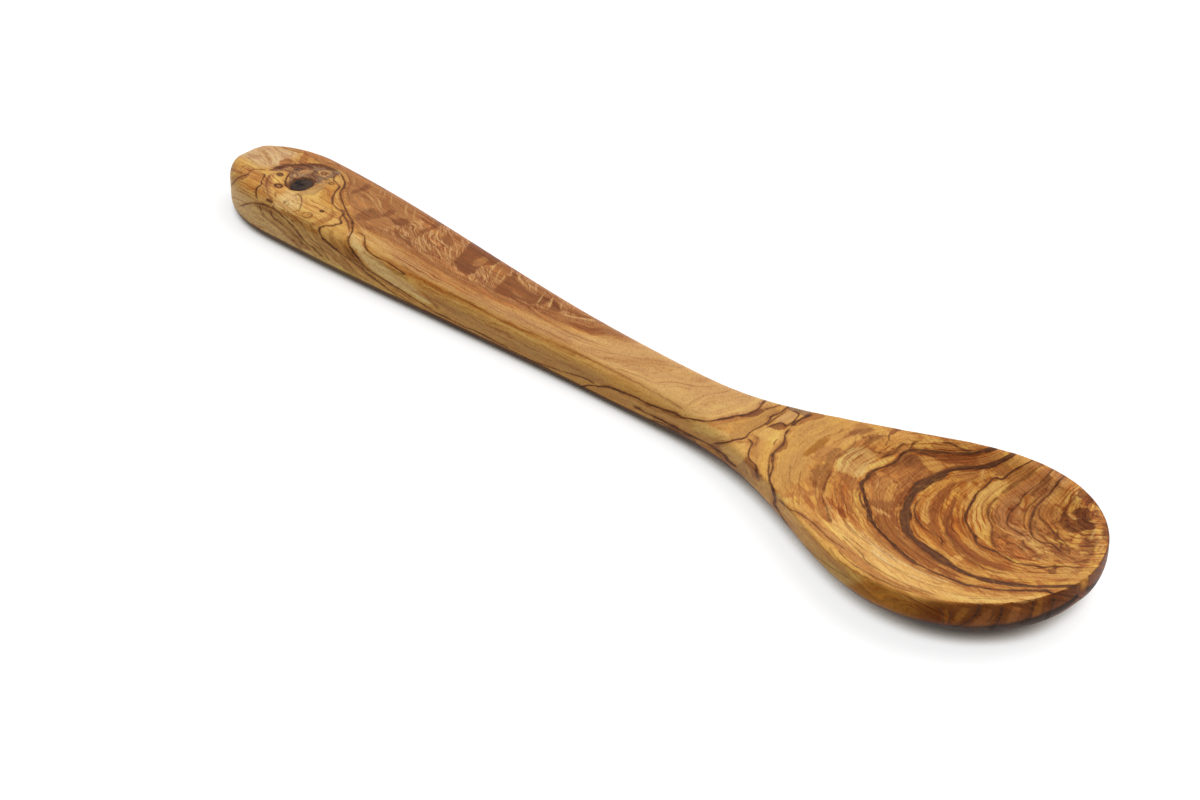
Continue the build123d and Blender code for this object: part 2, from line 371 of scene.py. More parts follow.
# ground colours: pigment, strength, softness of the edge, outline
PATCHES = [
    # the handle's end
    (PEACH, 1, 2.5, [(-5, -5), (4, -4), (9, -4.5), (13, -3), (15.5, 0.5), (14, 4), (14.6, 7.5),
        (11, 9), (7, 8), (-5, 8)]),
    (HONEY, 0.8, 2.2, [(-5, 7), (6, 7), (11, 9.4), (20, 10), (27, 10.5), (27, 15), (-5, 15)]),
    (STRAW, 0.9, 2, [(4, -5), (9, -4.6), (12, -6), (13, -12), (14.4, -18), (-5, -18)]),
    (CLAY, 1, 1.5, [(20, 9), (25, 10), (31, 10), (36, 7.6), (40, 2.8), (44, 0), (50, -3), (54, -5),
        (60, -5), (62, 20), (12, 20), (14, 10.6)]),
    (RUST, 0.85, 0.9, [(14.6, 11), (17, 9.8), (19.2, 8), (20.6, 5.6), (18.8, 4.6), (16.8, 6.6),
        (15.4, 9)]),
    (RUST, 0.8, 0.9, [(14.2, 1.2), (13.6, 3.4), (14.6, 4.6), (16.6, 4.4), (17.4, 2.8), (16.6, 1.2),
        (15.4, 0.4)]),
    (RUST, 0.7, 1.4, [(20, 11.6), (24, 12.4), (28, 11.2), (28, 14), (18, 14)]),
    (CHESTNUT, 0.75, 1.1, [(40.6, 10.4), (42.8, 10), (43, 8), (42.4, 5.4), (42, 3), (40.8, 4.4),
        (41, 7)]),
    (RUST, 0.6, 0.9, [(37.6, 6), (39.4, 5), (40.6, 2.6), (43, 0.6), (46, -1), (44, -2), (41, -0.4),
        (38.8, 2)]),
    (SMOKE, 1, 1, [(15.5, -3.5), (15.8, 0), (17, 2.5), (19, 4.5), (20.5, 6), (22, 7.5), (25, 9),
        (28, 9.8), (31, 9.8), (31.4, 6), (31, 3.4), (31, 0), (28, 1.6), (25.4, 0.4), (25, -5.2),
        (23, -3.2), (21, -0.8), (19, -0.3), (17.8, -2)]),
    (SMOKE, 0.4, 1.5, [(30, -5.4), (31, 4), (33.5, 3.8), (35, 0), (34.4, -4.4), (32, -6.4)]),
    (BISQUE, 0.5, 0.8, [(21.4, 0.4), (23.4, 2.6), (24.8, 1.6), (24.4, -1.4), (23, -1)]),
    (CHESTNUT, 0.7, 0.8, [(18, 2.6), (19.6, 4.6), (22.4, 6.2), (24.4, 5.2), (22.8, 3.8),
        (20.6, 3.2), (19.2, 1.6)]),
    (CHESTNUT, 0.6, 0.8, [(20.2, 5.6), (22, 8), (24.6, 8.8), (24, 6.6), (22, 6.6)]),
    (CHESTNUT, 0.75, 0.8, [(15.3, -3.2), (15.6, -0.4), (17, 1.8), (18.4, 1.2), (17, -0.8),
        (16.8, -2.8)]),
    (CHESTNUT, 0.5, 0.8, [(24.6, 5), (26, 4.6), (27.6, 3.2), (26, 2.8)]),
    (STRAW, 0.9, 2, [(18, -1.5), (21, -2.5), (25, -6.8), (31, -5.5), (31.5, 3), (33, 5), (36, 2),
        (38.5, -2), (44, -6), (52, -9), (56, -13), (55, -16.5), (34, -15.5), (25, -15), (16, -8)]),
    (CREAM, 0.9, 2, [(28, -8), (33, -7.5), (37, -11), (37, -15), (31, -15.5)]),
    (STRAW, 0.9, 0.8, [(31.8, 8.2), (34.6, 7.2), (36.6, 5.6), (35, 5.2), (32.8, 5.4)]),
    (STRAW, 0.8, 0.7, [(38.4, 1.6), (41, -0.8), (45, -3), (47.6, -4.2), (44, -3.8), (40, -1.6)]),
    (HONEY, 0.8, 1.5, [(33, 4.5), (36.5, 3), (39, -1.5), (44, -5.5), (40, -5.5), (35, -2)]),
    (AMBER, 0.8, 1, [(44.5, -5.5), (47, -6.5), (48, -10), (47.5, -15), (45.5, -15), (46, -10)]),
    (FAWN, 0.8, 0.8, [(17, -3.4), (18, -3.2), (20.6, -7), (24, -10.6), (28, -13.4), (30, -15.6),
        (27, -14.6), (22.4, -11.8), (19.6, -9.4), (18, -6.4)]),
    (CHESTNUT, 0.65, 0.7, [(12.2, -9.8), (13.6, -9.6), (14, -11.4), (13.4, -13.4), (12.3, -13)]),
    (WHEAT, 0.9, 2, [(10, -17), (25, -16.2), (40, -15.2), (48, -16), (56, -18.6), (66, -20.6),
        (80, -22), (80, -30), (10, -30)]),
    (SAND, 0.6, 2.2, [(20, -18), (30, -20), (40, -22), (52, -24.5), (66, -27.4), (66, -32),
        (20, -32)]),
    (OCHRE, 0.7, 0.8, [(34, -14.9), (40, -15.4), (46, -15.8), (50, -16.2), (51.6, -18.2),
        (48.6, -18), (44, -17.2), (38, -16.6), (34, -16)]),
    (BRONZE, 0.5, 0.8, [(58.6, -13.4), (61, -15.4), (65, -17.4), (70, -19.2), (68, -19.4),
        (63, -17.8), (59.4, -15.6)]),
    (UMBER, 0.35, 0.8, [(25.6, -18.6), (28, -17), (31.6, -16.4), (34.6, -17.6), (33.6, -19.6),
        (30, -19), (27, -20)]),
    (BARK, 0.2, 1.2, [(30, -17.4), (38, -18.4), (46, -21), (54, -23.4), (62, -25.6), (52, -25),
        (44, -22.8), (36, -21), (30, -19.6)]),
    (BARK, 0.16, 1.1, [(44, -18.2), (52, -20.4), (60, -22.4), (68, -24.8), (60, -24.2),
        (50, -21.8)]),
    (BARK, 0.25, 1, [(36, -15), (44, -15.6), (50, -17.6), (58, -19.4), (66, -21), (76, -23.4),
        (66, -22.2), (56, -20.6), (48, -18.6), (42, -16.6)]),
    (BARK, 0.35, 0.7, [(56, -14), (62, -16.4), (70, -19), (80, -20), (92, -20.4), (80, -21),
        (68, -19.8), (60, -17)]),
    (CHAR, 0.95, 0.5, [(24.3, -2.5), (25.2, 0.6), (27.8, 1.8), (30.4, 0.6), (31.3, -2.5),
        (30.4, -5.6), (27.8, -6.8), (25.2, -5.6)]),
    (SMOKE, 0.15, 1.5, [(27, -20), (34, -21.4), (44, -22.6), (56, -24.4), (56, -28), (27, -28)]),
    (RUST, 0.5, 0.8, [(3.6, -1.4), (6.4, -2.2), (9, -1.2), (7, 0)]),
    (CLAY, 0.7, 0.8, [(5, 8.6), (8, 7.2), (12, 8.2), (14.6, 8.6), (13.4, 10.6), (7, 10.2)]),
    (FAWN, 0.6, 0.8, [(4, 3.4), (8, 2.8), (12.6, 0.2), (13, -1.6), (8, 0.8), (4, 1.6)]),
    (UMBER, 0.6, 0.6, [(15.4, -3.4), (16.4, -3.2), (17.4, 0.6), (19.4, 3.2), (21.6, 5.6),
        (24.4, 8), (28.4, 8.8), (30, 9.6), (26, 9.8), (22, 8), (18.4, 4.4), (15.8, 1)]),
    (UMBER, 0.5, 0.6, [(19, 2.4), (20.8, 4), (22.6, 3.8), (22, 2), (20, 1.4)]),
    (TAN, 0.6, 0.7, [(22, 3.4), (24, 5.2), (25.6, 4.4), (24.2, 2.4), (22.4, 1.6)]),
    (TAN, 0.7, 0.7, [(26.4, 7.4), (28.6, 8), (30, 6.6), (29.4, 4.4), (27, 4), (26, 5.6)]),
    (TAN, 0.5, 0.7, [(17.4, -0.6), (19.8, 0.8), (20.6, 2), (18.4, 1.8)]),
    (HONEY, 0.6, 0.8, [(5, -6), (8.4, -6.4), (8.6, -11), (9.6, -14), (6, -12)]),
    (AMBER, 0.5, 0.7, [(9.4, -6), (12, -6.6), (12.4, -9.4), (11.6, -12), (12.4, -15), (10.4, -13),
        (9.8, -9)]),
    (HONEY, 0.7, 0.8, [(15, -7), (17.6, -9), (20, -12), (22, -14.6), (18, -14), (15, -11)]),
    (AMBER, 0.5, 0.7, [(20.6, -9.6), (24, -12.4), (28, -14.4), (25, -14.8), (21.4, -13)]),
    (GILT, 0.6, 0.7, [(22, -5.6), (25, -7.4), (28, -8.4), (27.4, -11), (24, -9)]),
    # the handle's top: rosy flame figure along the far half
    (CLAY, 1, 2.5, [(52, -4), (62, -6), (76, -6.4), (92, -6.6), (105, -6.4), (118, -4), (128, -2),
        (138, 2), (146, 6), (150, 14), (52, 20)]),
    (HAZEL, 0.9, 2.2, [(66, -7), (80, -7.4), (100, -7.2), (116, -5), (128, -3), (138, 0),
        (142, -2), (136, -7), (120, -9.6), (100, -10.4), (80, -12), (70, -9.4)]),
    (CHESTNUT, 0.6, 1.3, [(51, -4), (54.6, -3.6), (55.6, -1), (57, 1.4), (55, 3), (52, 3.6),
        (50.8, 1)]),
    (RUST, 0.6, 1.2, [(50.6, 10), (53, 8.4), (56, 6), (54.4, 4.4), (51.6, 6)]),
    (CHESTNUT, 0.7, 0.8, [(55.4, 6), (57.8, 5.8), (57.4, 2.4), (56, 1.8)]),
    (CHESTNUT, 0.8, 0.8, [(57.8, 3), (60.2, 3.6), (62, 5.8), (64, 4.8), (63.4, 1.8), (60.4, 1.6)]),
    (CHESTNUT, 0.8, 0.7, [(63.6, 0.8), (66, -0.2), (68.4, -1), (70, -0.8), (73, -2.2), (74, -3.4),
        (70, -2.8), (66.4, -2.2), (64.4, -1)]),
    (CHESTNUT, 0.7, 0.9, [(69.4, 11.4), (70.9, 11.4), (71.2, 7), (70.6, 4.4), (71, 1.4), (69.7, 3),
        (69.4, 7)]),
    (RUST, 0.6, 1, [(65, 9.8), (68, 11), (69, 8.6), (68.6, 6.4), (67, 8)]),
    (CHESTNUT, 0.65, 0.7, [(75.6, 8.4), (77.8, 8), (80.2, 6), (79.6, 4.6), (77.8, 5), (76, 6)]),
    (RUST, 0.6, 1, [(77, 10.6), (80.4, 10), (79.2, 7.8), (77.4, 8.8)]),
    (CHESTNUT, 0.9, 0.8, [(83.3, 11), (84.3, 7.4), (85.7, 4), (86.4, 0.5), (88.5, -0.8),
        (93.8, -2.5), (94.5, 0.5), (93.5, 4), (95.5, 7), (94, 11)]),
    (CLAY, 0.75, 0.8, [(90.6, 8), (92.8, 7.4), (93.2, 3), (91.6, 2.6), (90.2, 4.4)]),
    (RUST, 0.6, 1.2, [(96.5, 9), (100, 9), (102, 3), (98, 3.5)]),
    (CHESTNUT, 0.8, 1.1, [(102, 8.5), (104.6, 6.4), (108, 5.2), (114, 4.5), (118, 6.4),
        (118.6, 3.5), (117, 1), (112, -0.5), (105, -2.3), (103.5, 1)]),
    (CHESTNUT, 0.8, 0.7, [(118.9, 6.2), (121.6, 5.4), (124.3, 3.3), (121.8, 2.2), (120.4, 3.8)]),
    (CLAY, 0.6, 0.8, [(107.6, 2.2), (109.4, 1.4), (113, 1.4), (112, 0.3), (108.4, 0.4)]),
    (RUST, 0.6, 1, [(126, 8), (133, 7.5), (130, 5.2), (126.5, 5.5)]),
    (RUST, 0.5, 1, [(119, 0.8), (126, 2.4), (133, 2.4), (141, 4.4), (133, 1), (126, 0)]),
    (RUST, 0.5, 1.4, [(74, -3), (82, -3.4), (92, -4.3), (104, -3.2), (116, -2), (116, -3.6),
        (104, -6), (88, -6), (76, -4.8)]),
    (WHEAT, 0.75, 1.4, [(56.5, -6.5), (66, -7.3), (72, -9), (75, -12), (69, -12.7), (64, -11),
        (60, -9)]),
    (CREAM, 0.8, 1, [(56, -10.5), (60, -9.8), (63.5, -12), (68, -14), (74, -14.5), (78, -15.5),
        (72, -17.5), (66, -16), (60, -13.5)]),
    (AMBER, 0.6, 0.6, [(49.4, -4.6), (52, -6), (54.4, -7.6), (56.6, -9.6), (57.6, -11),
        (56.6, -10.8), (54, -8.8), (51.6, -7)]),
    (CREAM, 0.8, 1.4, [(68, -15), (80, -15.5), (90, -17), (98, -19.5), (88, -19.8), (78, -19.3),
        (70, -17.8)]),
    (OCHRE, 0.8, 0.9, [(72, -13.4), (80, -13), (92, -11.2), (104, -10.6), (118, -10), (128, -8.8),
        (140, -8), (150, -7.6), (150, -8.6), (128, -9.8), (104, -11.4), (88, -13), (78, -14.4)]),
    (STRAW, 0.7, 0.8, [(90, -13.2), (104, -12), (120, -11.2), (140, -9.4), (156, -8.6), (156, -10),
        (140, -11), (120, -12.8), (104, -13.6)]),
    (OLIVE, 0.9, 2.5, [(92, -15.5), (110, -14.5), (126, -13.4), (150, -11.5), (157, -13),
        (152, -16), (130, -19), (104, -19.8)]),
    (STRAW, 0.6, 0.8, [(76, -20.6), (92, -21.4), (106, -21.4), (106, -23), (84, -24.6),
        (70, -24.6)]),
    # the neck
    (TAN, 1, 2.5, [(138, -7.4), (150, -7.6), (166, -7.6), (180, -8.6), (187, -6.4), (191.6, -1),
        (193, 4), (192, 12), (152, 12), (146, 5), (138, 1)]),
    (CLAY, 0.5, 1.5, [(138, 8), (140, 4), (147, 4.5), (150, 8)]),
    (AMBER, 0.4, 1, [(155, 2), (158, 4), (163, 4), (160, 0), (155, -3), (150, -5.5), (148, -5)]),
    (WHEAT, 0.7, 2.5, [(158, -6), (166, -5), (172, -1), (180, -3), (188, 3), (192, 1), (189, -8),
        (182, -10), (164, -8)]),
    (CHESTNUT, 0.5, 0.8, [(165, -13.2), (175, -12.8), (184, -11.2), (186, -10), (184.5, -12.4),
        (175, -14), (168, -13.8)]),
    (OLIVE, 0.8, 2, [(158, -15), (172, -14), (186, -12), (198, -13), (207, -16.5), (198, -17),
        (172, -17.5)]),
    (CLAY, 0.45, 1.4, [(157, -16), (163, -15.4), (170, -16.6), (172, -19), (156, -20)]),
    (UMBER, 0.45, 0.8, [(176.5, -18), (182, -17), (190, -16.6), (193, -17.8), (196, -19),
        (186, -18.2)]),
    (OCHRE, 0.8, 0.8, [(193, -16.4), (200, -17), (206, -18.6), (212, -20.6), (208, -21.6),
        (198, -19.4)]),
    # between the neck's dark lines
    (TOFFEE, 0.95, 1.6, [(194, 6), (198, 7), (199, -6), (196, -14), (186, -14), (190, -8),
        (194, -1)]),
    (AMBER, 0.8, 0.9, [(188, -9), (189.6, -7.6), (190.6, -4.6), (192.6, -1), (194.8, 1),
        (193.8, -2.6), (192, -6), (190.6, -9.4)]),
    (CHESTNUT, 0.85, 0.6, [(193.6, 5), (195.3, 5.2), (195.6, 2), (194, -0.2), (192.2, -2),
        (193, 1)]),
    (WHEAT, 0.6, 1.5, [(186, -10.5), (190, -10), (197, -9), (197, -12.5), (188, -13.6)]),
    (STRAW, 0.5, 1, [(200.6, -14), (204.4, -14), (207.6, -17.4), (202, -16.6)]),
    (CLAY, 0.7, 0.7, [(198.8, -10.8), (199.6, -11.4), (198, -13.4), (198, -15.4), (195.8, -15.6),
        (196.4, -14)]),
    (TAN, 0.9, 0.7, [(200, 8.8), (203, 9.2), (203.6, 5), (201.6, 3.5), (200.2, 4)]),
    (SMOKE, 0.9, 0.8, [(198.5, 12), (205, 12.6), (204.8, 10), (202, 9.8), (199, 9.6)]),
    (CHESTNUT, 0.8, 0.7, [(201.2, 2.2), (202.4, 3.9), (204.6, 3.4), (204.9, 1.6), (203.4, 0.4),
        (201.9, 0.2), (201, -1)]),
    (STRAW, 0.8, 1.2, [(200.6, -0.4), (203, 0), (206, 1), (207.4, -2.4), (206.6, -5), (203, -5),
        (200.4, -4.6)]),
    (AMBER, 0.6, 0.9, [(200.2, -5), (203, -5.2), (205.4, -9), (209.4, -13), (206, -12),
        (203.4, -8)]),
    (STRAW, 0.7, 1, [(198.6, -13.5), (201.8, -9.5), (204.8, -13), (206.8, -17.6), (202, -17)]),
    (CHESTNUT, 0.7, 0.7, [(207.2, -0.6), (209.2, -1.8), (210.8, -4), (210.6, -7), (209.4, -7.6),
        (208.8, -4.6), (208.2, -2.4)]),
    (RUST, 0.8, 0.9, [(206.4, -13.4), (210.4, -15), (213, -16.6), (216, -19), (215, -20),
        (210.6, -17.8), (207, -15.4)]),
    (BARK, 0.35, 0.9, [(206.8, -16), (210, -17.8), (214, -20), (217, -21.4), (211, -21),
        (207.4, -19)]),
    # between the neck's last line and the bowl
    (CARAMEL, 0.8, 2, [(206.5, 8), (209, 12), (213, 12), (214.4, 4), (213, -6), (217, -16),
        (224, -20), (222, -13), (218, -6), (217, -3), (208, 2)]),
    (RUST, 0.75, 0.8, [(205.2, 13.6), (208.6, 13.4), (207.6, 11), (206.8, 9), (206.2, 6),
        (205.4, 7)]),
    (BRONZE, 0.8, 0.8, [(215, 7.8), (216.2, 5.8), (217.6, 1), (216.5, -4.2), (215, -1),
        (214.4, 4)]),
    (AMBER, 0.7, 1.2, [(217, 17), (219.4, 17), (219.4, 12), (220, 5), (218, 9)]),
    (RUST, 0.5, 1.2, [(219.6, 17.4), (221.8, 17), (221.4, 12.6), (219.6, 13)]),
    (RUST, 0.6, 1, [(221, 12), (223, 13), (224, 7), (223.6, 0.4), (222, 0), (222.4, 5)]),
    (AMBER, 0.6, 0.9, [(216.6, 2), (218.4, 4), (220.6, 2), (221.4, -3), (219, -3.4), (217.6, -1)]),
    (CHESTNUT, 0.8, 0.7, [(224.8, 21.4), (227, 22.4), (226.6, 18), (225.3, 18.3)]),
    (GILT, 0.75, 0.8, [(226.6, 20.6), (228.6, 22.6), (231.6, 21), (232.2, 18.4), (230.6, 15),
        (229.6, 12.4), (226.6, 14)]),
    (RUST, 0.6, 0.8, [(231, 18), (232.6, 17.6), (232.8, 13), (232.2, 9.6), (230.6, 8.4),
        (226.4, 8.6), (226.2, 11), (229.4, 11.6), (231, 12.6)]),
    (CHESTNUT, 0.5, 0.6, [(231.2, 15), (232.4, 15), (232.4, 10.4), (230.4, 10)]),
    (STRAW, 0.8, 0.8, [(231.4, 8.4), (233.4, 8.4), (233.2, 4), (231.8, 0.6), (231, 3)]),
    (FLAX, 0.75, 1.9, [(223, 7.6), (228, 9), (230.6, 6.4), (231.4, 3), (232.8, 0), (230.4, -2.4),
        (225, -1.6)]),
    (HONEY, 0.7, 1, [(233, 27), (237, 29), (240, 28), (236, 24.6), (233.4, 24)]),
    (GILT, 0.6, 0.8, [(233.8, 24.4), (236.4, 24.6), (236.6, 22), (234, 20.4), (233.2, 22.4)]),
    (CHESTNUT, 0.6, 1.4, [(221.3, -4.4), (223.6, -2.8), (225.6, -3), (226.8, -6), (228.6, -9),
        (230.2, -12.2), (227, -12.4), (223, -9.5)]),
    (RUST, 0.75, 0.9, [(229.2, -12), (231.6, -13.8), (236, -17.4), (241.6, -21.8), (237, -20.8),
        (232, -17.2)]),
    (RUST, 0.7, 1, [(227, -3), (231, -2.4), (235, -3), (236.4, -6.4), (233.4, -6.6),
        (230.4, -5.4)]),
    (GOLD, 0.6, 0.8, [(228, -5.6), (232.6, -9), (237, -13), (241, -15), (236, -14.4), (231, -11)]),
    (RUST, 0.6, 0.8, [(231, -7.6), (234.6, -9), (239, -12.6), (244, -15.4), (239, -14),
        (234, -11)]),
    (AMBER, 0.7, 0.9, [(223.4, -21), (225.6, -16.6), (229.6, -13), (230.4, -14.4), (227.4, -17),
        (225.4, -21.6)]),
    (STRAW, 0.8, 1.2, [(216, -18), (222, -20.5), (226, -20), (230, -22), (224, -22.3)]),
    (GILT, 0.8, 0.7, [(223.5, -22.9), (228, -24.4), (234, -25.2), (238, -27), (233, -27.4),
        (226, -24.9)]),
    (CHESTNUT, 0.6, 0.6, [(220.6, 21), (223.4, 21.8), (228, 24.6), (231, 25.8), (228.6, 24),
        (224.4, 20.8)]),
    (RUST, 0.7, 0.6, [(226.4, 25.6), (231, 27.2), (236, 29.6), (233.4, 26.8), (229, 24.8)]),
    (GILT, 0.7, 0.6, [(222, 23), (226, 24.4), (230.4, 27.4), (226, 26.8)]),
    (CHESTNUT, 0.5, 0.6, [(217.4, 12), (219.2, 15.6), (222, 18.2), (221, 14.6), (218.8, 11)]),
    (GILT, 0.6, 0.6, [(218.6, 9), (220.4, 12.4), (221.8, 12), (220.8, 7), (219.4, 5)]),
    (CHESTNUT, 0.6, 0.6, [(222.8, 12.6), (224.4, 16), (226, 17.6), (225.2, 13.2), (224.2, 9.6)]),
    (GILT, 0.7, 0.6, [(227.4, 12), (229.6, 12.4), (229.8, 9), (228.2, 8.6)]),
    (CHESTNUT, 0.6, 0.6, [(219.6, 4), (221.8, 5), (223, 1), (224.4, -3.4), (222.4, -3),
        (220.6, 0)]),
    # the bowl: outer ring, between the two dark arcs
    (AMBER, 1, 2, [(235.5, 16.5), (240, 18), (246, 22), (249, 26), (252, 22), (248.5, 18.5),
        (246, 14), (245, 8), (245.5, 2), (248, -5), (252, -10), (258, -14.5), (268, -17.5),
        (276, -18), (276, -20.5), (264, -20), (252, -16), (244, -11), (238, -6), (235, -1),
        (234.5, 6)]),
    (SIENNA, 0.9, 0.9, [(236.4, 16.9), (240, 17.6), (244.4, 17.4), (247.2, 19.4), (250.2, 22),
        (252.2, 25.6), (249.4, 27), (247, 25.4), (244.6, 23.2), (241.4, 21)]),
    (CHESTNUT, 0.75, 1.2, [(235, 15), (239.4, 14.4), (241.8, 12.8), (242.4, 11), (239.6, 10),
        (237.4, 8.6), (236.8, 11), (235, 12)]),
    (RUST, 0.6, 0.9, [(240.6, 10.8), (242.8, 12.6), (244.8, 12.4), (244.6, 6.4), (244.2, 1.4),
        (241, 3.6), (238.4, 6.4), (236, 6), (235, 9), (238, 9.4)]),
    (GOLD, 0.6, 1, [(238.6, 15), (241, 17), (245, 15.6), (247, 12.4), (243, 12.6)]),
    (RUSSET, 0.85, 1.1, [(245.4, 11), (245.4, 4), (246.4, -1), (249.6, -7.4), (254.4, -12),
        (252.6, -12.4), (248, -8.4), (245, -2), (243.8, 5)]),
    (GILT, 0.55, 0.7, [(241.6, 22.6), (244.6, 23), (247.4, 25.4), (246, 26.2), (243, 24.4)]),
    (GOLD, 0.6, 0.7, [(239, 0.6), (241.4, 2.4), (243, -1), (245, -5), (243, -4.8), (240.8, -2.4)]),
    (CHESTNUT, 0.6, 0.7, [(233.8, 2.6), (235, 2), (235, -1.6), (234.2, -2.6)]),
    (SORREL, 0.8, 0.9, [(246.4, -9.8), (250, -10.6), (254.6, -13.4), (260, -15.8), (270, -17.2),
        (277, -17.8), (277, -19.6), (266, -19.9), (257, -17.6), (250.6, -15.2), (246.6, -12.8)]),
    (WHEAT, 0.7, 0.6, [(243.8, -9.4), (246.4, -9), (249, -9.8), (246, -10.3)]),
    (RUST, 0.6, 1, [(236, 23), (241, 24), (246, 25.6), (243, 22.8), (238, 20.4)]),
    (AMBER, 0.7, 1.2, [(236, 27), (243, 30), (248.6, 31), (247.3, 27.5), (242, 25.8),
        (237.5, 24.8)]),
    (AMBER, 0.7, 1, [(248.4, 24.6), (250, 30), (252.6, 31), (252.8, 26), (251.5, 23)]),
    # second ring
    (HONEY, 1, 2, [(249.5, 16), (254, 22), (258, 20), (257.5, 12), (262, 2), (270, -5),
        (280, -7.5), (288, -6.5), (296, 0), (298, -3), (290, -10.5), (280, -14), (270, -13.8),
        (258, -10.5), (251, -4), (248.6, 5)]),
    (AMBER, 0.9, 1, [(248.8, 14), (249.4, 18.6), (252, 21.4), (254, 18.6), (254.4, 14),
        (252, 14.6)]),
    (GILT, 0.6, 0.6, [(252, 22.2), (254.8, 20.8), (257, 16.4), (256.8, 14.4), (254.8, 17.4),
        (253, 20.2)]),
    (GILT, 0.7, 0.6, [(254, 15), (257, 13.4), (259.4, 9), (261.4, 4.6), (259.4, 5.8), (257.4, 10),
        (255, 12.6)]),
    (GILT, 0.6, 0.6, [(255.6, 22.6), (258.2, 20.8), (257.2, 19.8), (255.6, 20.8)]),
    (CHESTNUT, 0.6, 0.6, [(255.4, 18.4), (256.6, 18.4), (256.9, 17.2), (255.8, 17.2)]),
    (MAROON, 0.85, 0.9, [(250.6, 12), (252.4, 11), (254.4, 5), (257, -1), (261.6, -5.8),
        (266.6, -9.6), (263, -8.6), (258.4, -7.4), (254, -3.4), (251.4, 3.4)]),
    (GILT, 0.6, 1, [(250.6, 6), (252, 4.6), (254.6, -1.6), (258.4, -5.6), (256, -5.8),
        (252.6, -2.4)]),
    (COPPER, 0.9, 0.8, [(255.5, 8), (257.6, 5), (259.4, 1.4), (262.4, -2.4), (267, -5.6),
        (275, -8), (283, -8), (284, -9.8), (275, -10.6), (268, -8.6), (262, -5), (257.8, 0.6)]),
    (GOLD, 0.8, 1, [(265, -4.4), (272, -6), (282, -6.4), (290, -4.4), (286, -5.6), (274, -7.4)]),
    (GILT, 0.9, 1.2, [(284, -12), (291, -8), (297, -2.4), (297.6, 0.8), (292, -3.6), (286, -8.4),
        (280, -11.6)]),
    (RUST, 0.7, 0.8, [(255, 27), (258.6, 26), (259, 22), (257.4, 21.2), (255, 22.6),
        (253.8, 24.4)]),
    (GOLD, 0.8, 0.7, [(255.2, 33), (258.8, 33), (258.6, 27.2), (255, 27.4)]),
    (CHESTNUT, 0.55, 0.7, [(246.4, 15.6), (248.6, 19), (251.6, 21.6), (253, 24.4), (253.4, 28),
        (252.2, 25), (249.4, 21.4), (246.6, 18.4)]),
    (CHESTNUT, 0.5, 0.8, [(256, -12.6), (262, -14.6), (268, -15.6), (274, -16.8), (270, -17.4),
        (262, -16.2), (256.4, -14)]),
    (CHESTNUT, 0.55, 0.7, [(233.8, 12), (235.6, 15), (238, 15.4), (237, 12), (236.4, 8),
        (235.6, 4), (234.8, 8)]),
    (AMBER, 0.4, 1, [(235.6, 2), (238.4, 4.4), (241, 0.4), (244.4, -5), (241, -6.6),
        (238.4, -3.4)]),
    (CHESTNUT, 0.5, 0.7, [(240.6, -7.6), (243.4, -6), (246.4, -3.4), (247, -7), (244.6, -9.4)]),
    (GILT, 0.7, 0.7, [(270.6, -14.4), (273.4, -14.8), (273.6, -11.6), (271.6, -11.4)]),
    (CHESTNUT, 0.45, 0.7, [(262.8, -6.4), (267, -9), (272, -10.4), (278, -11), (276, -9.8),
        (270, -8.2), (265, -5.4)]),
    # third ring and the core
    (CHESTNUT, 0.5, 0.6, [(266.4, 30), (267.8, 30), (269.4, 24), (270.4, 18), (268.6, 20),
        (267.2, 25)]),
    (CHESTNUT, 0.5, 0.6, [(270.6, 27), (272.2, 24), (273, 19), (275, 14.6), (272.8, 16.4),
        (271.4, 21)]),
    (GILT, 0.7, 0.6, [(263.4, 12.4), (265.4, 8.4), (268, 6), (266.4, 9), (264.8, 13.4)]),
    (STRAW, 0.8, 1.2, [(258.8, 20), (262.4, 20), (262.6, 12), (265, 6), (270, 2.4), (266, 0),
        (262, 3.6), (259.2, 10)]),
    (GILT, 0.85, 0.7, [(259.8, 12), (261.4, 8.4), (264.4, 5), (268, 3.2), (265.6, 2.2), (262, 4.8),
        (260, 8.6)]),
    (AMBER, 0.8, 0.7, [(260.2, 34), (262, 34), (262.4, 27), (260, 26.6)]),
    (RUST, 0.6, 0.8, [(259.6, 26), (262.4, 26.4), (262.4, 21.4), (260, 21.6)]),
    (ALMOND, 0.85, 2, [(264, 34), (271, 34), (275, 14), (281, 7.5), (290, 6), (288, 2), (276, 2.5),
        (268, 6), (264.6, 12)]),
    (RUST, 0.6, 0.8, [(263.8, 31.6), (266, 31.6), (266.6, 25), (266.8, 20), (264, 20.4)]),
    (RUST, 0.6, 0.7, [(263.8, 19.6), (266.8, 19.4), (267, 15.6), (264.2, 15.4)]),
    (GILT, 0.75, 0.7, [(267.8, 19.4), (270.4, 20), (271.8, 16.8), (271.4, 14.4), (269, 15.2)]),
    (GILT, 0.9, 0.7, [(273.4, 27), (276.6, 27.6), (277.8, 23), (275.4, 20.8), (273, 21.5)]),
    (STRAW, 0.7, 0.8, [(273.6, 33), (277.6, 32), (279.4, 25), (277.8, 23.4), (276, 27.6)]),
    (RUST, 0.6, 0.9, [(264.2, 14.4), (269.6, 13.6), (271.6, 11.4), (272.6, 7), (278, 4.8),
        (271.6, 4.4), (266.4, 7.6)]),
    (GOLD, 0.7, 0.6, [(265.2, 12), (267, 9), (270, 6.6), (269.4, 9), (267.4, 13)]),
    (GOLD, 0.8, 0.6, [(271.8, 13), (274, 9.6), (277, 7), (275.2, 10.4), (273.2, 14.4)]),
    (AMBER, 0.8, 1, [(273.4, 19), (279, 19), (281.6, 13.8), (278.6, 9.4), (275.6, 12.4)]),
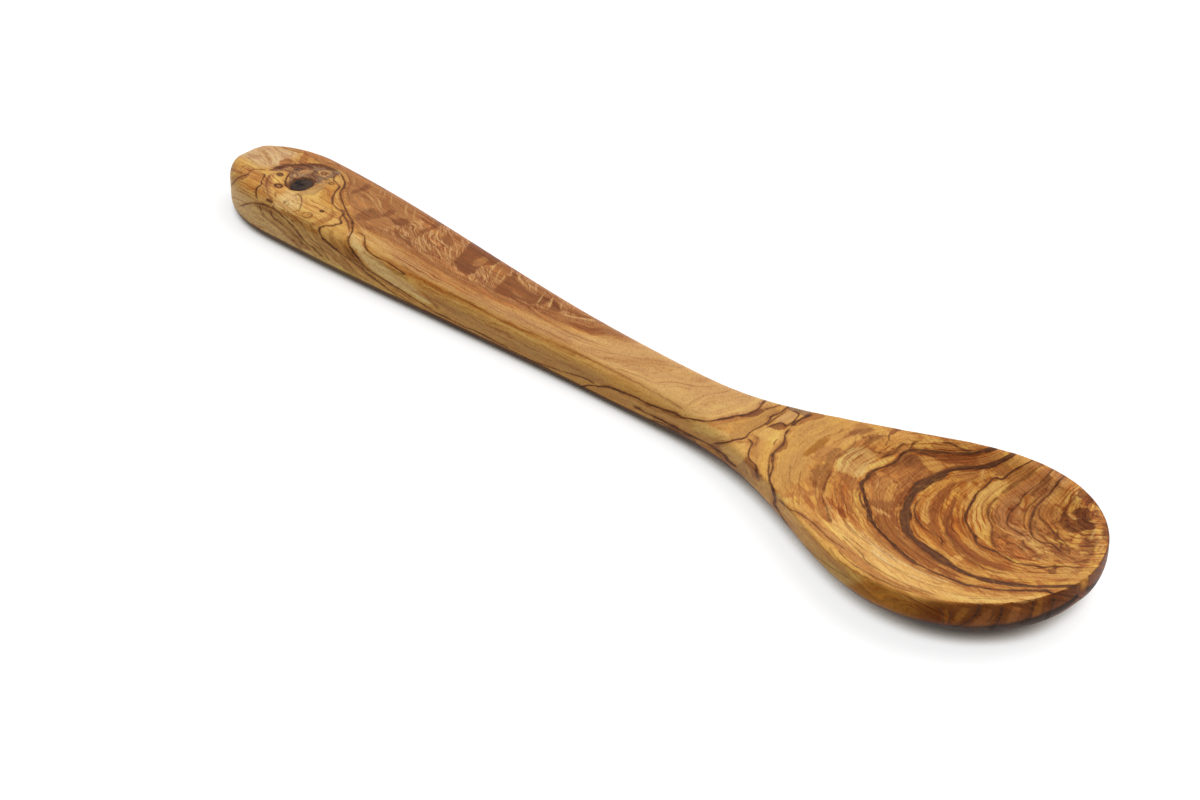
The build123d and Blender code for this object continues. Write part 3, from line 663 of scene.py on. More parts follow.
    (CHESTNUT, 0.6, 0.8, [(275, 12.6), (277.4, 9.8), (280.4, 7.6), (283, 7.4), (280, 9.8),
        (277, 12.6)]),
    (RUST, 0.9, 0.9, [(271.5, 3), (280, 2.5), (288, 0.5), (284, -3.6), (277, -4), (272.6, -0.5)]),
    (STRAW, 0.6, 0.7, [(280, 5.6), (284, 5), (288.4, 3.4), (291, 4), (288, 1.8), (283, 2.6)]),
    (CHESTNUT, 0.9, 0.9, [(276.3, 29.9), (281, 30.4), (284.4, 27.8), (281.5, 26.4),
        (278.3, 26.8)]),
    (CHESTNUT, 0.9, 0.8, [(281.6, 24), (284.2, 24.2), (287, 21.8), (285.4, 19.8), (282.6, 19.4),
        (280.4, 21)]),
    (COCOA, 0.9, 0.8, [(279, 19.7), (283, 18.9), (284.5, 20.4), (289.2, 19.6), (288, 16.4),
        (285.4, 13.2), (282, 14.4), (279.8, 17)]),
    (RUST, 0.7, 0.9, [(284.4, 25.4), (289.4, 24), (289.6, 21.4), (287.6, 20.8), (285.6, 22.6)]),
    (CHESTNUT, 0.7, 0.8, [(289.4, 22.2), (291.4, 22.6), (295.8, 17), (294, 15.8), (291.4, 18.6)]),
    (RUST, 0.7, 0.9, [(289.6, 14.6), (292.4, 13.4), (296.4, 9), (294, 7.4), (291, 9.6)]),
    (GILT, 0.85, 0.6, [(287.4, 14.8), (289.6, 13), (290.4, 9.5), (288.6, 10.4)]),
    (GILT, 0.7, 0.8, [(283, -0.6), (287, 0.4), (292, 0), (296, 4), (298, 3.4), (294, -1.6),
        (286, -2.2)]),
    (CHESTNUT, 0.8, 0.7, [(291, 0.6), (293, 0.6), (293.6, -2.8), (291.4, -3)]),
    # the near flank: pale golden bands, partly grain and partly a painted highlight where the
    # flank faces the lamp
    (BUTTER, 1, 1.8, [(232, -16), (246, -18.5), (256, -21.5), (270, -23), (284, -22), (294, -15),
        (297.5, -11.6), (292, -19.5), (282, -27), (268, -29.5), (254, -27.5), (242, -23)]),
    (CREAM, 1, 1, [(253, -22), (264, -23.8), (272, -24), (277, -24.4), (274, -26), (266, -27.2),
        (256, -26)]),
    (GILT, 0.9, 1, [(276, -24), (284, -21.4), (291, -17), (287, -21.6), (280, -25.6)]),
    (CREAM, 0.7, 0.8, [(238.6, -18.6), (246, -19.4), (252, -21), (247, -21.4), (241, -20.4)]),
    (AMBER, 0.7, 0.8, [(228, -22.6), (240, -23.7), (252, -26), (262, -29.5), (272, -30),
        (280, -29), (272, -31), (258, -30.8), (246, -28)]),
    (CREAM, 0.6, 0.7, [(244, -26.2), (252, -28.6), (260, -30.4), (254, -30), (246, -27.4)]),
    (AMBER, 0.7, 0.8, [(247, -15.4), (256, -19), (268, -21.6), (282, -20.6), (268, -22.4),
        (256, -20.4)]),
    (GILT, 0.5, 1.2, [(270.6, -17.2), (273.2, -17.4), (273.4, -19.8), (271, -20.4), (270.4, -19)]),
    (GOLD, 0.9, 0.7, [(298, 8), (299.8, 5), (300, -2), (299.4, -6.4), (297.6, -5.4), (298, 2)]),
    (CREAM, 0.8, 0.7, [(248, -19.2), (256, -21.4), (266, -22.6), (278, -21.6), (266, -23.4),
        (255, -22.6)]),
    (AMBER, 0.6, 0.6, [(250, -22.6), (258, -24.4), (268, -25.2), (280, -24), (268, -25.8),
        (257, -25)]),
    (AMBER, 0.8, 0.8, [(286, 8), (290, 9), (296, 8), (297, 3), (292, 2), (287, 3.6)]),
    (RUST, 0.6, 0.7, [(288, 8), (291, 7), (294.6, 6.2), (293, 4.4), (289, 5)]),
    (GOLD, 0.8, 0.7, [(281, 11.4), (284.6, 10.2), (287.4, 11.4), (286.6, 13), (283.4, 13)]),
    (GILT, 0.7, 0.6, [(284.4, 3.4), (288.6, 2.2), (294, 3), (297.4, 6), (293, 4.6), (288, 4.2)]),
    (RUST, 0.7, 0.6, [(279, 9), (283, 8.4), (286.6, 9.4), (284, 10.4), (280.4, 11.6)]),
    (RUST, 0.7, 0.6, [(285.4, 7), (288, 7.8), (291, 6.6), (288.6, 5.4), (286, 5.2)]),
    (RUST, 0.6, 0.6, [(295.4, 4), (297.4, 4.4), (297.8, 1), (296, 0)]),
    (GILT, 0.8, 0.6, [(292, 9), (294.6, 9), (295, 6.4), (293, 6)]),
    # the bowl's wall and underside
    (BRASS, 0.85, 2.5, [(226, -29), (236, -31.5), (250, -33.5), (266, -34.2), (276, -33),
        (284, -40), (262, -46), (226, -42)]),
    (BRONZE, 0.9, 2, [(262, -34), (276, -32.6), (284, -29), (290, -40), (280, -46), (262, -46)]),
    # partly painted shade on the wall near the tip
    (EMBER_AND_SHADE, 0.35, 1.8, [(278, -32.4), (283, -31), (286, -34), (290, -40), (284, -40), (280, -36)]),
    (GINGER, 0.5, 0.7, [(283, -31), (285, -31.4), (288.4, -36.4), (286.6, -37)]),
    (GINGER, 0.7, 0.6, [(286, -27.6), (287.6, -27), (289, -33), (288, -34)]),
    (RUST, 0.8, 0.6, [(294.6, -19), (296, -18.4), (299.6, -26), (298.4, -28)]),
    (GINGER, 0.65, 0.5, [(297, -13), (298, -12.6), (301.6, -19), (300.6, -20.6)]),
    (RUST, 0.6, 0.8, [(291.4, -23.4), (294, -26.6), (294.6, -31), (293, -36), (291.4, -31)]),
    (CHESTNUT, 0.6, 0.8, [(297.4, -16.6), (300, -21), (301, -26), (299, -30), (298, -24)]),
    (CHESTNUT, 0.6, 0.8, [(299.8, -10.2), (302.6, -13), (305, -20), (303, -20), (301.4, -15)]),
]

# lines: half width, or half widths spread along the line, then strength, points
VEINS = [
    # the handle's end
    (0.28, 0.6, [(15.6, -4), (13.8, -4.8), (12.3, -5.8), (12, -7.6), (12.9, -9.4), (12.4, -11.2),
        (12.5, -13), (13.4, -15), (15, -18)]),
    (0.22, 0.6, [(13.4, -9.4), (14, -11.2), (13.2, -13.4)]),
    (0.2, 0.45, [(8.8, -4.6), (8.7, -7.4), (9.4, -10), (9, -12)]),
    (0.22, 0.75, [(14.4, -6.4), (15.6, -6.1), (17, -6.6), (17.8, -8), (18.5, -9.2), (20, -10.6),
        (20.3, -12.4), (21.4, -13.8), (23.4, -15.4), (26, -17)]),
    (0.2, 0.55, [(17.2, -3.8), (18.4, -6.4), (20.8, -9.4), (24.4, -12.1), (27, -13.6), (29.6, -15),
        (31, -16.8)]),
    (0.18, 0.45, [(24.6, -9.8), (27, -11.3), (28.6, -13.1), (30, -14)]),
    (0.42, 0.62, [(15.6, -3), (15.9, -0.6), (17, 1.8), (18.6, 3.6), (20.2, 5.4), (21.6, 7.4),
        (24, 8.6), (27, 9), (29.6, 9.6)]),
    (0.3, 0.85, [(19.9, 0.2), (21.3, -1.4), (22.5, -3.4), (23.8, -4.9), (25.6, -6), (27.4, -6.5)]),
    (0.2, 0.6, [(17.4, -0.6), (20, 0), (22.6, 0.4), (24, -0.6), (24.3, -2.6), (24.9, -4.2)]),
    (0.22, 0.6, [(24.6, 4.8), (26, 3), (27.8, 2.8), (29, 1.2), (30.4, -0.4), (31, -2.6),
        (30.6, -4.8)]),
    (0.25, 0.5, [(21.4, 5.4), (22.2, 3.4), (21.6, 1.2)]),
    ((0.26, 0.26, 0.26, 0.3, 0.26, 0.22, 0.22, 0.2, 0.2, 0.18, 0.18, 0.14), 0.74, [(30.5, 9.6),
        (33, 8.4), (35.6, 6.9), (37.2, 5.2), (38.3, 3.2), (39.8, 1.4), (42.6, -0.6), (46, -2.6),
        (48.4, -4), (50.8, -5.1), (53, -6), (55, -8), (56.4, -9.2), (57.5, -11), (58.6, -12.9),
        (60, -14.1), (62.3, -15.4), (64.8, -16.6), (69, -18.1), (73.2, -19.5), (80, -20),
        (86, -20.2), (96, -20.8), (102, -21), (106, -20.6), (112, -20.4), (115, -19.6),
        (121, -19.3), (134, -19), (144, -17.6)]),
    ((0.22, 0.22, 0.22, 0.22, 0.22, 0.34, 0.42, 0.24, 0.22, 0.2, 0.18, 0.12), 0.78, [(30.8, 8.6),
        (31.6, 6.4), (33, 5.1), (35, 4.7), (36.6, 3.8), (37.4, 2.2), (38.5, 0.1), (40, -1.8),
        (42, -3.4), (44.4, -4.2), (46.5, -4.3), (48, -5), (48.6, -6.2), (49.2, -7.6), (50.4, -8.1),
        (51.3, -8.8), (50.8, -10.2), (50.7, -11.5), (49.4, -12.7), (48.7, -13.7), (49, -14.8),
        (50.3, -16), (51.9, -17), (54, -17.9), (56.5, -18.3), (59, -18.9), (62, -19.3),
        (64.8, -19.8), (69, -20.2), (73.2, -20.8), (76.5, -21.4), (80, -21.8), (83.2, -22.3),
        (86.1, -22.7), (91, -23.5)]),
    (0.28, 0.72, [(45, -3.4), (47.6, -4.6), (49.4, -6), (51.4, -6.8), (53, -7.6), (54.6, -9),
        (56.4, -10.6)]),
    (0.24, 0.72, [(56.3, -8.8), (58, -8.7), (60, -8.6), (61.3, -9.2), (62.4, -10.2), (63.4, -11.1),
        (64.2, -12), (65.7, -12.7), (67.3, -13.2), (70, -13.5), (72.3, -13.5), (74.8, -13.1),
        (78, -13.4), (84, -14)]),
    (0.22, 0.6, [(29.8, -7.8), (31.5, -7.1), (33.4, -7.5), (35, -8.8), (36.6, -10.6),
        (37.9, -12.4), (37.7, -13.8), (36.4, -15)]),
    (0.15, 0.45, [(34.8, -6.8), (36.2, -8), (37.4, -9.6)]),
    (0.3, 0.45, [(60, -15.6), (64, -17.4), (70, -19), (76, -20.4)]),
    # the handle's near side
    (0.3, 0.68, [(24.8, -24), (24.9, -21.5), (25.6, -19.3), (27.2, -18), (30, -17.3), (33, -17.1),
        (37, -17.8), (42, -19), (46.5, -20.6), (50.3, -22.2), (56.5, -23.4), (62, -25)]),
    (0.22, 0.65, [(27.5, -17.5), (29.6, -19.4), (32, -20.6), (34.5, -20.8)]),
    (0.25, 0.65, [(31, -17.2), (33, -18.7), (35.6, -20), (38.4, -20.7), (42.3, -21.2), (48, -22.4),
        (54, -24.5)]),
    (0.2, 0.6, [(35, -15.4), (40, -16), (44, -16.8), (46.5, -18), (49, -19.3), (52.3, -20.4),
        (56, -21.2), (59.8, -22.7), (64.8, -25)]),
    (0.2, 0.6, [(30.6, -14.8), (31.6, -16.6), (36, -16.9), (41, -17.6), (44, -18.5)]),
    (0.18, 0.55, [(38, -15.2), (44, -15), (46, -15.6), (48.2, -16.6), (50.3, -17.1),
        (54.4, -18.3)]),
    (0.16, 0.55, [(62, -20), (64.8, -20.6), (67.3, -21.4), (70, -22.4), (74, -24)]),
    (0.15, 0.45, [(69, -22.3), (74, -23.4), (80, -24)]),
    (0.16, 0.5, [(62, -16.8), (66, -18.2), (70, -19.4), (74, -20.2)]),
    (0.15, 0.5, [(77.3, -14.7), (80, -14.9), (83, -14.8)]),
    (0.22, 0.45, [(92, -16.4), (95.3, -17.6), (98.7, -18.5), (102.5, -20)]),
    (0.15, 0.35, [(97, -14.3), (106, -14.6), (115, -14.6)]),
    ((0.3, 0.5, 0.7, 0.5), 0.28, [(26, -19.6), (30, -18.6), (34, -18.4), (38, -19.2), (44, -21),
        (50, -23), (56, -24.4)]),
    ((0.3, 0.5, 0.6, 0.5), 0.3, [(36, -16.4), (42, -17), (47, -19), (52, -21), (58, -23),
        (64, -25.6)]),
    ((0.4, 0.7, 0.7, 0.5), 0.34, [(45, -13.4), (47, -15.6), (50, -17.8), (55, -19.6), (62, -21.4),
        (70, -23.6), (78, -25)]),
    ((0.3, 0.7, 0.7, 0.4), 0.36, [(51.4, -12), (53.4, -14.6), (57, -17), (62, -18.6), (68, -19.8),
        (74, -21)]),
    ((0.3, 0.5, 0.5, 0.3), 0.4, [(30, -20.4), (34, -21.6), (40, -22.6), (48, -24.4), (56, -26.4)]),
    ((0.3, 0.5, 0.5, 0.3), 0.34, [(70, -21.2), (80, -22.2), (92, -22.8), (106, -22.4),
        (120, -21.2)]),
    ((0.3, 0.6, 0.6, 0.3), 0.38, [(64.4, -13.4), (68, -14.6), (73, -14.8), (79, -15),
        (86, -15.6)]),
    (0.12, 0.5, [(25.4, -19), (27, -20.6), (28.6, -22.2)]),
    (0.14, 0.55, [(26.6, -17.8), (28.6, -19.4), (30.4, -21)]),
    (0.14, 0.6, [(28, -17.2), (29.8, -18.6), (31.6, -20.4)]),
    (0.14, 0.55, [(29.4, -16.8), (31.2, -18.2), (33.2, -20.2)]),
    (0.14, 0.5, [(30.8, -16.6), (32.6, -18), (34.4, -19.6)]),
    ((0.2, 0.5, 0.4), -0.5, [(28, -21.4), (34, -22.6), (42, -23.8), (50, -25.4)]),
    ((0.2, 0.4, 0.3), -0.5, [(38, -17.2), (44, -19.4), (50, -21.4), (56, -22.6)]),
    ((0.2, 0.5, 0.3), -0.5, [(46.6, -14), (49.4, -15.2), (54, -18.9), (60, -19.9), (66, -21.4)]),
    ((0.2, 0.4, 0.3), -0.4, [(70, -21.9), (80, -23), (92, -23.6), (104, -23.2)]),
    # the handle's top
    (0.22, 0.5, [(95, -0.5), (100.3, -1.7), (105, -2), (110.8, -1.2), (117, -0.4), (121, 0.8),
        (126, 1.8)]),
    (0.16, 0.35, [(74, -3.2), (80, -4.3), (86, -5.1), (94, -5), (102, -4.6)]),
    (0.3, 0.42, [(95, -11.4), (104.5, -11), (113, -11.1), (121.2, -10.8), (124, -10), (128, -9.2),
        (134, -9), (144, -8.1), (154, -7.7), (165, -7.6), (174, -7.9), (181, -8.9)]),
    # fine streaks at the handle's end
    (0.12, 0.45, [(5, 6.4), (9, 5.8), (13.4, 4.4)]),
    (0.12, 0.45, [(4.4, 4.4), (9, 3.4), (13.2, 1.4)]),
    (0.12, 0.45, [(5.6, 0.8), (10, -0.8), (13.4, -3)]),
    (0.14, 0.5, [(4.6, 8.8), (9, 8), (13, 8.8), (16, 10.6)]),
    (0.12, 0.45, [(4.6, 2.6), (8.6, 1.4), (12.4, -0.6)]),
    (0.14, 0.5, [(4, -2.6), (8.6, -3.6), (12.4, -4.4)]),
    (0.14, 0.55, [(18.4, 11), (21, 9.6), (24, 10.4), (27, 11.6), (30, 11)]),
    (0.12, -0.6, [(5, 5.4), (9, 4.6), (13, 3)]),
    (0.12, -0.6, [(5, 1.6), (9, 0.2), (13, -2)]),
    (0.12, -0.55, [(20, 10.8), (22.4, 9.8), (25, 11)]),
    (0.14, 0.6, [(20.4, 4.6), (21.4, 6.2), (23, 6.4)]),
    (0.14, 0.6, [(22.6, 8), (24, 7), (25.4, 8)]),
    (0.16, 0.65, [(25.2, 7.8), (26, 8.6), (27.2, 8.2), (28.2, 8.8), (29.4, 8.2), (30.2, 7)]),
    (0.14, 0.5, [(25.4, 5.4), (25.2, 6.8), (26.2, 8)]),
    (0.14, 0.5, [(29.6, 7.2), (30, 5.4), (29.4, 3.8)]),
    (0.14, 0.55, [(14.4, -5.4), (15.2, -6.8), (16.4, -6.2), (17.2, -7.4)]),
    (0.12, 0.5, [(16, -4.6), (17.6, -5.6), (19, -8)]),
    (0.14, 0.5, [(21.6, -11), (23.4, -12.6), (26, -13.4)]),
    (0.14, 0.5, [(37.6, -12.4), (39.6, -12.8), (40.6, -11.4), (42.4, -11.2), (43.2, -13),
        (41.6, -14.2), (39.8, -13.6)]),
    (0.12, 0.5, [(31.6, 4.6), (32.6, 2.4), (32.2, -0.6), (32.8, -3.4)]),
    (0.12, 0.4, [(34.2, 2.4), (34, -1), (34.6, -4)]),
    (0.14, 0.5, [(5.6, 9.6), (10, 10.6), (15, 11.4)]),
    (0.12, 0.45, [(11, 8.6), (13.4, 7), (14, 5)]),
    (0.14, 0.55, [(30.4, 11.4), (34, 9.6), (37.4, 7.4), (39.4, 4.6), (42, 2.4), (46, 0)]),
    (0.14, 0.5, [(42.4, -5.4), (45, -6.2), (47.4, -9), (47.2, -12.6)]),
    # the neck
    (0.2, 0.7, [(140, -17.6), (143.3, -17.4), (146.7, -16.5), (150.4, -15.5), (153.3, -15.3),
        (156.6, -15.4)]),
    (0.36, 0.78, [(153.2, -20), (154.2, -17.6), (155.3, -16.3), (156.7, -15.5), (158.3, -14.1),
        (160.8, -13.6), (163.3, -13.4), (165.8, -12.8), (169.2, -12.8), (172, -12.8),
        (174.6, -12.3), (177.5, -11.7), (179.6, -11.3), (182.2, -11.4), (183.8, -10.5),
        (185.4, -9.7), (187.6, -8.8), (189, -7.3), (189.8, -5.4), (190.9, -3.5), (191.9, -1.3),
        (193.2, 0.5), (193.7, 2.8), (193.6, 4.6), (193, 6.5), (192.3, 8.7), (192, 12)]),
    (0.28, 0.65, [(193.8, 5), (195, 5.4), (195.7, 7.4), (196.4, 9.2), (197, 12)]),
    (0.28, 0.78, [(198, 13), (198.5, 10.5), (198.9, 7.8), (198.6, 5.5), (198.4, 4.2), (199.3, 2.8),
        (199.5, 0.5), (199.5, -1.3), (199.3, -3.5), (199.5, -5.8), (200, -7.2), (199.5, -9),
        (198.6, -10.4), (198.4, -11.7), (197.3, -13.5), (196.1, -14.6), (195.7, -15.9)]),
    (0.26, 0.74, [(200, -7.1), (201.8, -7.6), (202.7, -7.9), (203.6, -9.2), (204.5, -11),
        (205.5, -12.4), (206.4, -13.3), (207.5, -14), (210, -14.9), (211.8, -16.3), (213.6, -18.1),
        (215.6, -19.4)]),
    (0.2, 0.65, [(198.6, -10.5), (200, -10.1), (201.1, -9.2), (201.8, -7.9)]),
    (0.18, 0.55, [(200, -5.4), (202.5, -5.6), (203.6, -7.4), (205, -10)]),
    (0.18, 0.65, [(197.2, -13.7), (198, -15.2), (198, -16.4)]),
    (0.25, 0.75, [(199.6, 9.6), (199.6, 6), (199.9, 1.5), (199.8, -1)]),
    (0.25, 0.8, [(199.4, 9.7), (201, 9.9), (202.7, 9.8), (203.4, 8.3), (204, 6.9), (204.2, 5.4),
        (204, 3.4), (202.3, 3.8), (201.6, 2.4), (201.1, 0.5), (200.8, -1)]),
    (0.6, 0.8, [(205.3, 13), (204.9, 10.1), (204.7, 7.8), (204.9, 5.5), (205.4, 3.5)]),
    (0.32, 0.76, [(205.2, 4.2), (205.5, 3.3), (206.1, 1), (207.3, -0.6), (208.4, -2),
        (209.1, -3.5), (209.5, -5.8), (209.8, -7.6), (211.4, -9.9), (213.2, -12), (215, -14.2),
        (216.4, -16.7), (218.2, -18.4), (220, -19.6), (222, -21.2), (223.5, -22.6), (225, -24.5),
        (228.3, -26.4), (231.7, -28.4), (235, -30.4), (240, -33)]),
    (0.16, 0.6, [(206.8, -1.3), (206.5, -3), (207.2, -4.8), (208.6, -5.8)]),
    (0.18, 0.7, [(208.8, -7), (211, -10.6), (212.7, -12.8), (214.5, -14.9), (216.6, -17.2),
        (219, -19.6)]),
    (0.34, 0.8, [(168.5, -15.6), (171.7, -16.1), (175.8, -16.1), (180, -15.9), (185, -16),
        (189.2, -16), (193.6, -15.8), (195.7, -15.8), (198.2, -16.3), (200.9, -16.7),
        (203.6, -17.8), (205.5, -18.4), (208.5, -18.8)]),
    (0.25, 0.8, [(176, -18.6), (177.2, -17.7), (179.2, -17), (181.7, -16.9), (185, -17.1),
        (188.3, -16.6), (191, -16.3)]),
    (0.18, 0.6, [(189.5, -16.2), (191.8, -17.2), (193.6, -18.1), (197, -19)]),
    (0.18, 0.5, [(198, -16.6), (201.5, -18.1), (205, -19.6), (210, -21)]),
    # between the neck and the bowl
    (0.18, 0.45, [(214.8, 13.5), (215.8, 11), (215.6, 8.6), (214.9, 6)]),
    (0.2, 0.45, [(220, 13), (220.8, 10.4), (222.4, 8.4), (222.7, 5), (222, 2.4)]),
    (0.16, 0.4, [(219, 6), (220.4, 3.4), (220, 0.6), (221, -3)]),
    (0.2, 0.5, [(223.2, 9.6), (223.5, 6), (223, 2.6), (223.6, 0)]),
    (0.16, 0.6, [(221.6, 12.8), (222.2, 14.4), (223.4, 13.2), (223.2, 15.6), (224.4, 16.6)]),
    (0.14, 0.55, [(219.4, 16), (219.2, 13), (220.2, 10.4)]),
    (0.16, 0.5, [(222.8, 18), (223.6, 15.8), (223.4, 12)]),
    (0.2, 0.6, [(226.4, 10.4), (228.4, 9.6), (230.4, 10.6), (231.2, 9)]),
    (0.16, 0.5, [(228.6, 20), (229.6, 22), (231.6, 23.6), (234, 24.4)]),
    (0.16, 0.5, [(236.4, 26.6), (239, 27.4), (242, 28.6), (245, 30)]),
    (0.22, 0.55, [(220.5, 13.8), (222, 12.4), (222.6, 14.6), (223.8, 16), (224.8, 14.6)]),
    (0.3, 0.6, [(225.3, -3), (226.3, -5.4), (227.4, -8), (229.2, -11), (231.4, -14.4), (235, -17),
        (238.3, -19.6), (241.1, -21.6)]),
    (0.2, 0.45, [(228.5, -6), (231, -9), (234.4, -12.6), (238.5, -15.6), (243, -18.8),
        (248, -20.8), (255, -22.3)]),
    (0.26, 0.65, [(231.7, 18.6), (231, 16.6), (231.4, 14), (232, 12), (231.2, 9.2), (231.9, 7)]),
    (0.22, 0.6, [(225.4, 19.6), (226, 17.6), (227.8, 14.8), (228.6, 12)]),
    (0.26, 0.65, [(233.3, 21.6), (232.7, 19), (233.4, 17.1), (234.2, 15.4)]),
    # the bowl's first arc
    ((0.3, 0.3, 0.3, 0.34, 0.4, 0.42, 0.5, 0.6, 0.4, 0.5, 0.66, 0.8), 0.84, [(318, -3), (308, -5),
        (302, -7.4), (298.5, -9.3), (296.2, -9.9), (293.2, -12.2), (290.3, -14.6), (287.9, -16.4),
        (284.4, -18.1), (280.3, -19.8), (275.6, -20.3), (270.9, -20.8), (266, -20.6), (262, -19.9),
        (258, -18.5), (253.9, -17.1), (251.4, -16.2), (248.3, -14.8), (245.6, -13.2),
        (243.9, -11.2), (241.1, -8.9), (238.9, -7.1), (236.1, -4.8), (234.5, -2.9), (234.2, -0.7),
        (233.3, 1.6), (233.6, 4.3), (234.4, 7.1), (234.7, 9.9), (234.2, 12.1), (233.6, 14.3),
        (234.3, 16.2), (236.1, 17.7), (238.3, 19.1), (240.6, 20.5), (242.8, 22.1), (245, 23.8),
        (246.7, 25.4), (247.8, 27.7), (248.9, 29.9), (249.6, 34)]),
    (0.4, 0.7, [(234.6, 15.6), (237, 17), (239.6, 17.6), (242, 18.6)]),
    (0.3, 0.6, [(240.6, 19.6), (243.4, 20), (246, 21.8), (247.8, 24)]),
    (0.24, 0.55, [(249.6, 20.4), (247, 20), (244, 18), (241.6, 17.6)]),
    (0.35, 0.7, [(236.8, 23.4), (238.4, 24.4), (240, 25.2), (242.8, 24.9), (245, 25.5),
        (247.2, 27.5)]),
    (0.28, 0.75, [(236.2, -5.2), (238.2, -8), (240.6, -10), (243.8, -11.8)]),
    (0.18, 0.55, [(235, -4), (236.6, -7.6), (238.8, -10)]),
    (0.18, 0.5, [(238.4, 13.6), (237, 11.6), (237.4, 9)]),
    # the bowl's second arc, the widest
    ((0.5, 0.7, 0.7, 0.85, 1.05, 1.05, 1.2, 1.5, 1.1, 0.85, 0.8), 0.82, [(302, -2.6),
        (298.5, -5.4), (296.2, -7.4), (293.8, -9.3), (290.3, -11.6), (286.8, -13.5),
        (282.6, -15.2), (278.5, -16.1), (274.4, -16.1), (270.3, -15.5), (266.8, -14.7),
        (262.6, -14), (259, -13.1), (256.7, -12), (253.9, -9.8), (251.7, -6.9), (249.2, -3.4),
        (247.6, -0.1), (246.5, 3.2), (246, 6.6), (246.4, 9.6), (246.8, 12.4), (246.9, 14.9),
        (247.8, 17.1), (249.4, 19.2), (251.7, 21.3), (253.2, 23.8), (253.6, 26), (254.2, 28.8),
        (254.1, 34)]),
    (0.22, 0.7, [(249.5, 1.8), (250.4, -1.6), (252.6, -4.5), (255, -6.5), (258.3, -7.9),
        (261.7, -8.5), (264.2, -8.6), (265.6, -10), (266.8, -11.9)]),
    (0.3, 0.5, [(255.6, 7.7), (257.2, 4.9), (258.9, 1.6), (261, -2.4), (263.8, -5.8),
        (266.8, -7.6), (269.7, -9.8), (272.6, -11), (276.2, -11.4), (280.3, -11.6), (283.4, -10.8),
        (286.4, -8.8)]),
    (0.22, 0.7, [(284, -18.6), (288, -16), (291.5, -13.4), (295, -9.9), (298.4, -8.3)]),
    # the third arc
    ((0.08, 0.14) + (0.28,) * 9, 0.8, [(300, 6), (296.2, 3.1), (293.2, 1.3), (291.6, -0.4),
        (290.3, -1.7), (288.5, -2.8), (286.2, -4), (283.2, -4.9), (280.3, -4.7), (277.4, -4.4),
        (275, -4.7), (272, -4.6), (269.1, -2.4), (266.2, -0.6), (263.8, 1.2), (261.9, 3.6),
        (260.6, 6.8), (259.6, 9.4), (258.5, 11.8), (258.1, 16), (257.3, 19.2), (257.6, 20.8),
        (259.2, 21.2), (258.9, 26), (259.4, 30.4), (259.8, 36)]),
    (0.55, 0.85, [(268, -1.8), (269.7, -2.6), (271.4, -4.2)]),
    (0.6, 0.85, [(274.6, -4.4), (276.6, -4.4), (278.8, -4.6)]),
    (0.4, 0.8, [(258.3, 12), (259, 10.6), (260, 8.4)]),
    # the core's lines
    (0.6, 0.5, [(262.2, 36), (262.6, 30), (263, 25), (262.9, 19.3), (263.2, 14.9)]),
    (0.3, 0.6, [(263.2, 15.5), (263.6, 11.6), (264.6, 8.8), (267, 5.8), (270.3, 3.2), (272.6, 0.2),
        (274.4, -1.8), (277.2, -3.8)]),
    (0.25, 0.7, [(265.7, 36), (266, 31.5), (266.8, 28.4), (267.2, 23.5), (267.4, 19.4),
        (268.7, 16), (269.3, 12.6), (270, 10.2), (270.9, 8.4), (272.6, 6.2), (276.8, 5.5),
        (279.7, 5.1)]),
    (0.28, 0.75, [(269.2, 36), (269.8, 31.3), (270.8, 27.2), (271.9, 23.4), (272.2, 20),
        (273, 16.6), (274.8, 12.8), (276.8, 9.6), (278.5, 7.8), (280.9, 6), (282.8, 5.8),
        (285.4, 6.8), (288, 6), (290.6, 5.2)]),
    (0.22, 0.6, [(269.1, 26.6), (270.6, 23.2), (271, 18.6), (271.8, 14.8), (273.6, 11.3),
        (275.8, 8.6), (278.5, 6.4)]),
    (0.18, 0.5, [(265.4, 13), (266.4, 10), (269, 7.6), (271.4, 5)]),
    (0.2, 0.55, [(264, 11), (266, 7.4), (269, 5.2), (271, 3.8)]),
    (0.25, 0.65, [(272.9, 20), (274.4, 16), (276.8, 13.6), (280.3, 12.5), (283.2, 10.8),
        (285.6, 10), (288, 8.9), (290.6, 7.6)]),
    (0.25, 0.55, [(276.8, 28.4), (277.9, 24.2), (279.1, 20.7), (280.9, 16.6), (282.4, 13.4)]),
    (0.3, 0.65, [(282.4, 13.2), (284, 10.8), (285, 8.6), (287, 8.6), (288, 7), (290, 7.6),
        (291.6, 5.4)]),
    (0.22, 0.65, [(278.6, 4.6), (280, 2.8), (281.6, 2), (283.8, 1.4), (286, 0.6)]),
    (0.2, 0.5, [(290.4, 14.6), (291.6, 12), (292.8, 15.6), (293.8, 12.6), (295, 14)]),
    (0.22, 0.55, [(290.6, 1.8), (292, -0.4), (293.4, -1.8)]),
    (0.18, 0.55, [(289.5, 2.6), (292.4, 1.8), (295, 2), (298, 4.5)]),
    (0.18, 0.5, [(285.4, 3.6), (287.6, 4.6), (289.6, 3.6), (291.4, 4.4)]),
    # the near flank's fine lines
    (0.22, 0.65, [(223.3, -22.3), (226.1, -22.9), (228.9, -23.7), (231.7, -23.5), (235.6, -24),
        (238.3, -24.7), (241.7, -25.8), (245, -26.8), (248.3, -27.2), (251.1, -28)]),
    (0.16, 0.5, [(235.6, -24.9), (239.4, -26.3), (243.9, -27.6), (247.2, -28)]),
    (0.2, 0.55, [(245, -23.4), (248.3, -24.3), (252.8, -25.7), (255, -26.8), (257.2, -27.9),
        (260, -28.6), (265, -28.9), (270, -29), (275, -28.6), (279, -27.8)]),
    (0.2, 0.6, [(248.3, -28.4), (251.1, -29.8), (253.9, -30.8), (258.3, -31.5), (263.9, -31.7),
        (270, -31.4), (275, -30.4)]),
